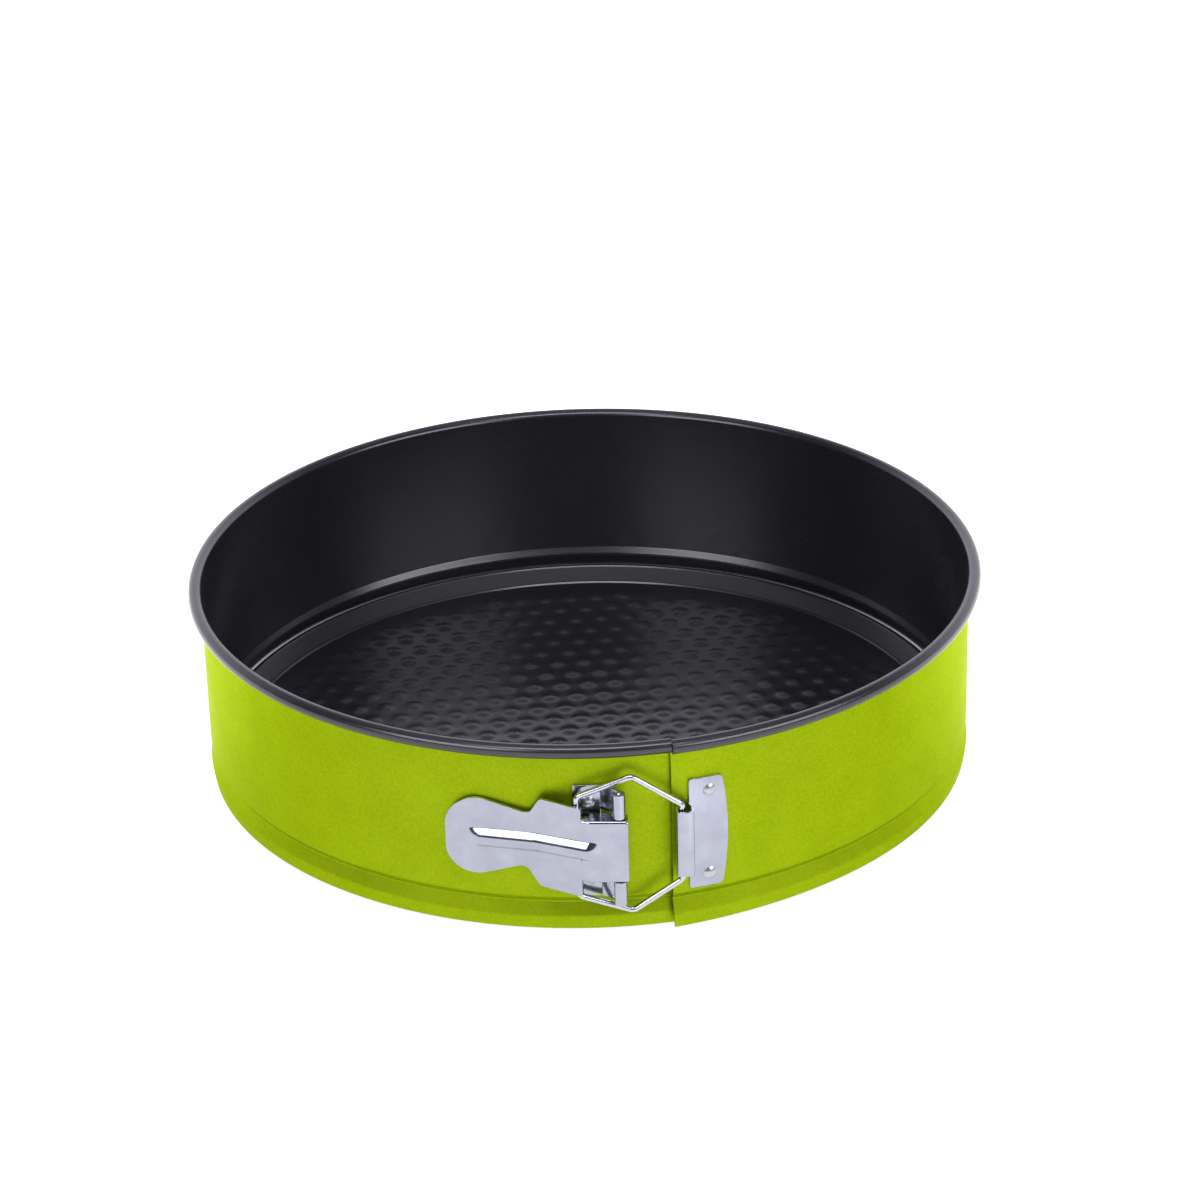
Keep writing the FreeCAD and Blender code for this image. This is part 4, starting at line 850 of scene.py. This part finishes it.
# spring wire, drawn and plated: brighter and smoother than the pressed sheet, with
# small patches that differ a little in polish
wire = bpy.data.materials.new("drawn_spring_wire")
wire.use_nodes = True
tree = wire.node_tree
shader = tree.nodes["Principled BSDF"]
shader.inputs["Metallic"].default_value = 1.0
where = add_node(tree, "ShaderNodeTexCoord", {})
DIE_MARK = 1.2           # from one patch to the next
drawn = add_node(tree, "ShaderNodeTexNoise",
                 {"Vector": where.outputs["Object"], "Scale": 1 / (DIE_MARK * MM), "Detail": 3})
polish = add_node(tree, "ShaderNodeMapRange",
                  {"Value": drawn.outputs["Fac"], "To Min": 0.12, "To Max": 0.24})
tone = add_node(tree, "ShaderNodeValToRGB", {"Fac": drawn.outputs["Fac"]})
tone.color_ramp.elements[0].color = linear("#c4c6cc")
tone.color_ramp.elements[1].color = linear("#dcdee2")
tree.links.new(tone.outputs["Color"], shader.inputs["Base Color"])
tree.links.new(polish.outputs["Result"], shader.inputs["Roughness"])

loop = rounded_line([(u, -h, r) for u, h, r in BAIL_HALF] + BAIL_HALF[::-1], turn=BEND_STEP)
bail_way = (Vector(BAR) - Vector(BAIL_PIVOT)).normalized()
bail_curve = bpy.data.curves.new("bail_wire", "CURVE")
bail_curve.dimensions = "3D"
bail_curve.bevel_depth = WIRE_RADIUS * MM
bail_curve.bevel_resolution = WIRE_ROUNDNESS
bail_curve.use_fill_caps = True
spline = bail_curve.splines.new("POLY")
spline.points.add(len(loop) - 1)
for point, (u, h) in zip(spline.points, loop):
    x, y = Vector(BAIL_PIVOT) + bail_way * u
    point.co = (x * MM, y * MM, (LATCH_Z + h) * MM, 1)
bail_curve.materials.append(wire)
bail = bpy.data.objects.new("bail_wire", bail_curve)
scene.collection.objects.link(bail)
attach(bail, "bail")
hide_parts("bail")

# ---------------------------------------------------------------- catch plate
# Plated steel riveted to the outer end of the band. Its outer edge is bowed and a
# tab on the other edge is curled round the bail's hook bar.
CATCH_GAUGE = 1.0
CATCH_MIDDLE = FLAP_RADIUS + CATCH_GAUGE / 2
CATCH_LEFT = 15.2        # its left edge, degrees round the flap
CATCH_HALF = 19.6
TAB_HALF = 11.4
CURL = [(31.6, -130.6), (31.6, -135.05), (26.65, -135.05), (26.65, -130.95), (29.3, -130.95)]
CURL_ROUND = 1.1
EDGE_X = 42.69           # the bowed outer edge at mid height
EDGE_BOW = 1.8           # and how far its ends fall back
CORNER = 1.6
TAB_START = (30.45, -128.9)
TAB_SIDE = 0.43          # of the gauge, each side of the tab's middle: curling thins it
LEFT_CUT = 0.2           # its left corners lean in by this for each mm of rounding, degrees
PLATE_WAY = (2, 0.45)    # the way the plate goes on from its left edge
PLATE_COLUMNS = 9
CATCH_EDGE = 0.12        # how far its cut edges are broken

# rows from the mid height up, closer towards the rounded corners
half_rows = [0, 4, 8, TAB_HALF, 14, 16.5, 18.0, 18.5, 18.95, 19.3, 19.52, CATCH_HALF]
heights = np.array([-h for h in half_rows[:0:-1]] + half_rows)
tab = [TAB_START + (0,)] + [spot + (CURL_ROUND,) for spot in CURL]
tab_path = [tuple(p) for p in rounded_line(tab, turn=CURL_STEP)][::-1]
left_x, left_y = round_the_pan(CATCH_MIDDLE, CATCH_LEFT, 0, FLAP_CENTRE)[:2]
tab_out = outward(np.array(tab_path + [(left_x, left_y),
                                       (left_x + PLATE_WAY[0], left_y + PLATE_WAY[1])]))
front, back = [], []
for (x, y), out in zip(tab_path, tab_out):
    aside = out * CATCH_GAUGE * TAB_SIDE
    front.append([(x + aside[0], y + aside[1], LATCH_Z + h) for h in heights])
    back.append([(x - aside[0], y - aside[1], LATCH_Z + h) for h in heights])
for share in np.linspace(0, 1, PLATE_COLUMNS):
    for grid, radius in ((front, CATCH_MIDDLE + CATCH_GAUGE / 2),
                         (back, CATCH_MIDDLE - CATCH_GAUGE / 2)):
        line = []
        for h in heights:
            near_corner = max(0, abs(h) - (CATCH_HALF - CORNER))
            cut = CORNER - math.sqrt(max(0, CORNER ** 2 - near_corner ** 2))
            edge = EDGE_X - EDGE_BOW * (h / CATCH_HALF) ** 2 - cut
            right = math.degrees(math.asin((edge - FLAP_CENTRE[0]) / CATCH_MIDDLE))
            left = CATCH_LEFT + (LEFT_CUT * cut if abs(h) > TAB_HALF else 0)
            line.append(round_the_pan(radius, left + (right - left) * share, LATCH_Z + h,
                                      FLAP_CENTRE))
        grid.append(line)
kept = np.ones((len(front) - 1, len(heights) - 1), bool)
outside_tab = [i for i in range(len(heights) - 1)
               if max(abs(heights[i]), abs(heights[i + 1])) > TAB_HALF]
kept[:len(tab_path), outside_tab] = False
points, faces, _ = sheet_grid(np.array(front), np.array(back), kept)
catch = add_piece("catch_plate_curled", points, faces, [plated])
soften(catch, CATCH_EDGE)
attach(catch, "ring_right")
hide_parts("catch_plate")

# ---------------------------------------------------------------- catch rivets
# Two rivets of the same kind as the bracket's, through the catch plate and the flap.
# They stay with the flap when the band opens.
CATCH_RIVET_ANGLE = 18.0
CATCH_RIVET_HALF = 14.9
catch_rivets = add_rivets("catch_rivets_set", CATCH_GAUGE, FLAP_RADIUS + CATCH_GAUGE,
                          CATCH_RIVET_ANGLE, CATCH_RIVET_HALF, FLAP_CENTRE, "ring_right")
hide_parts("catch_rivets")
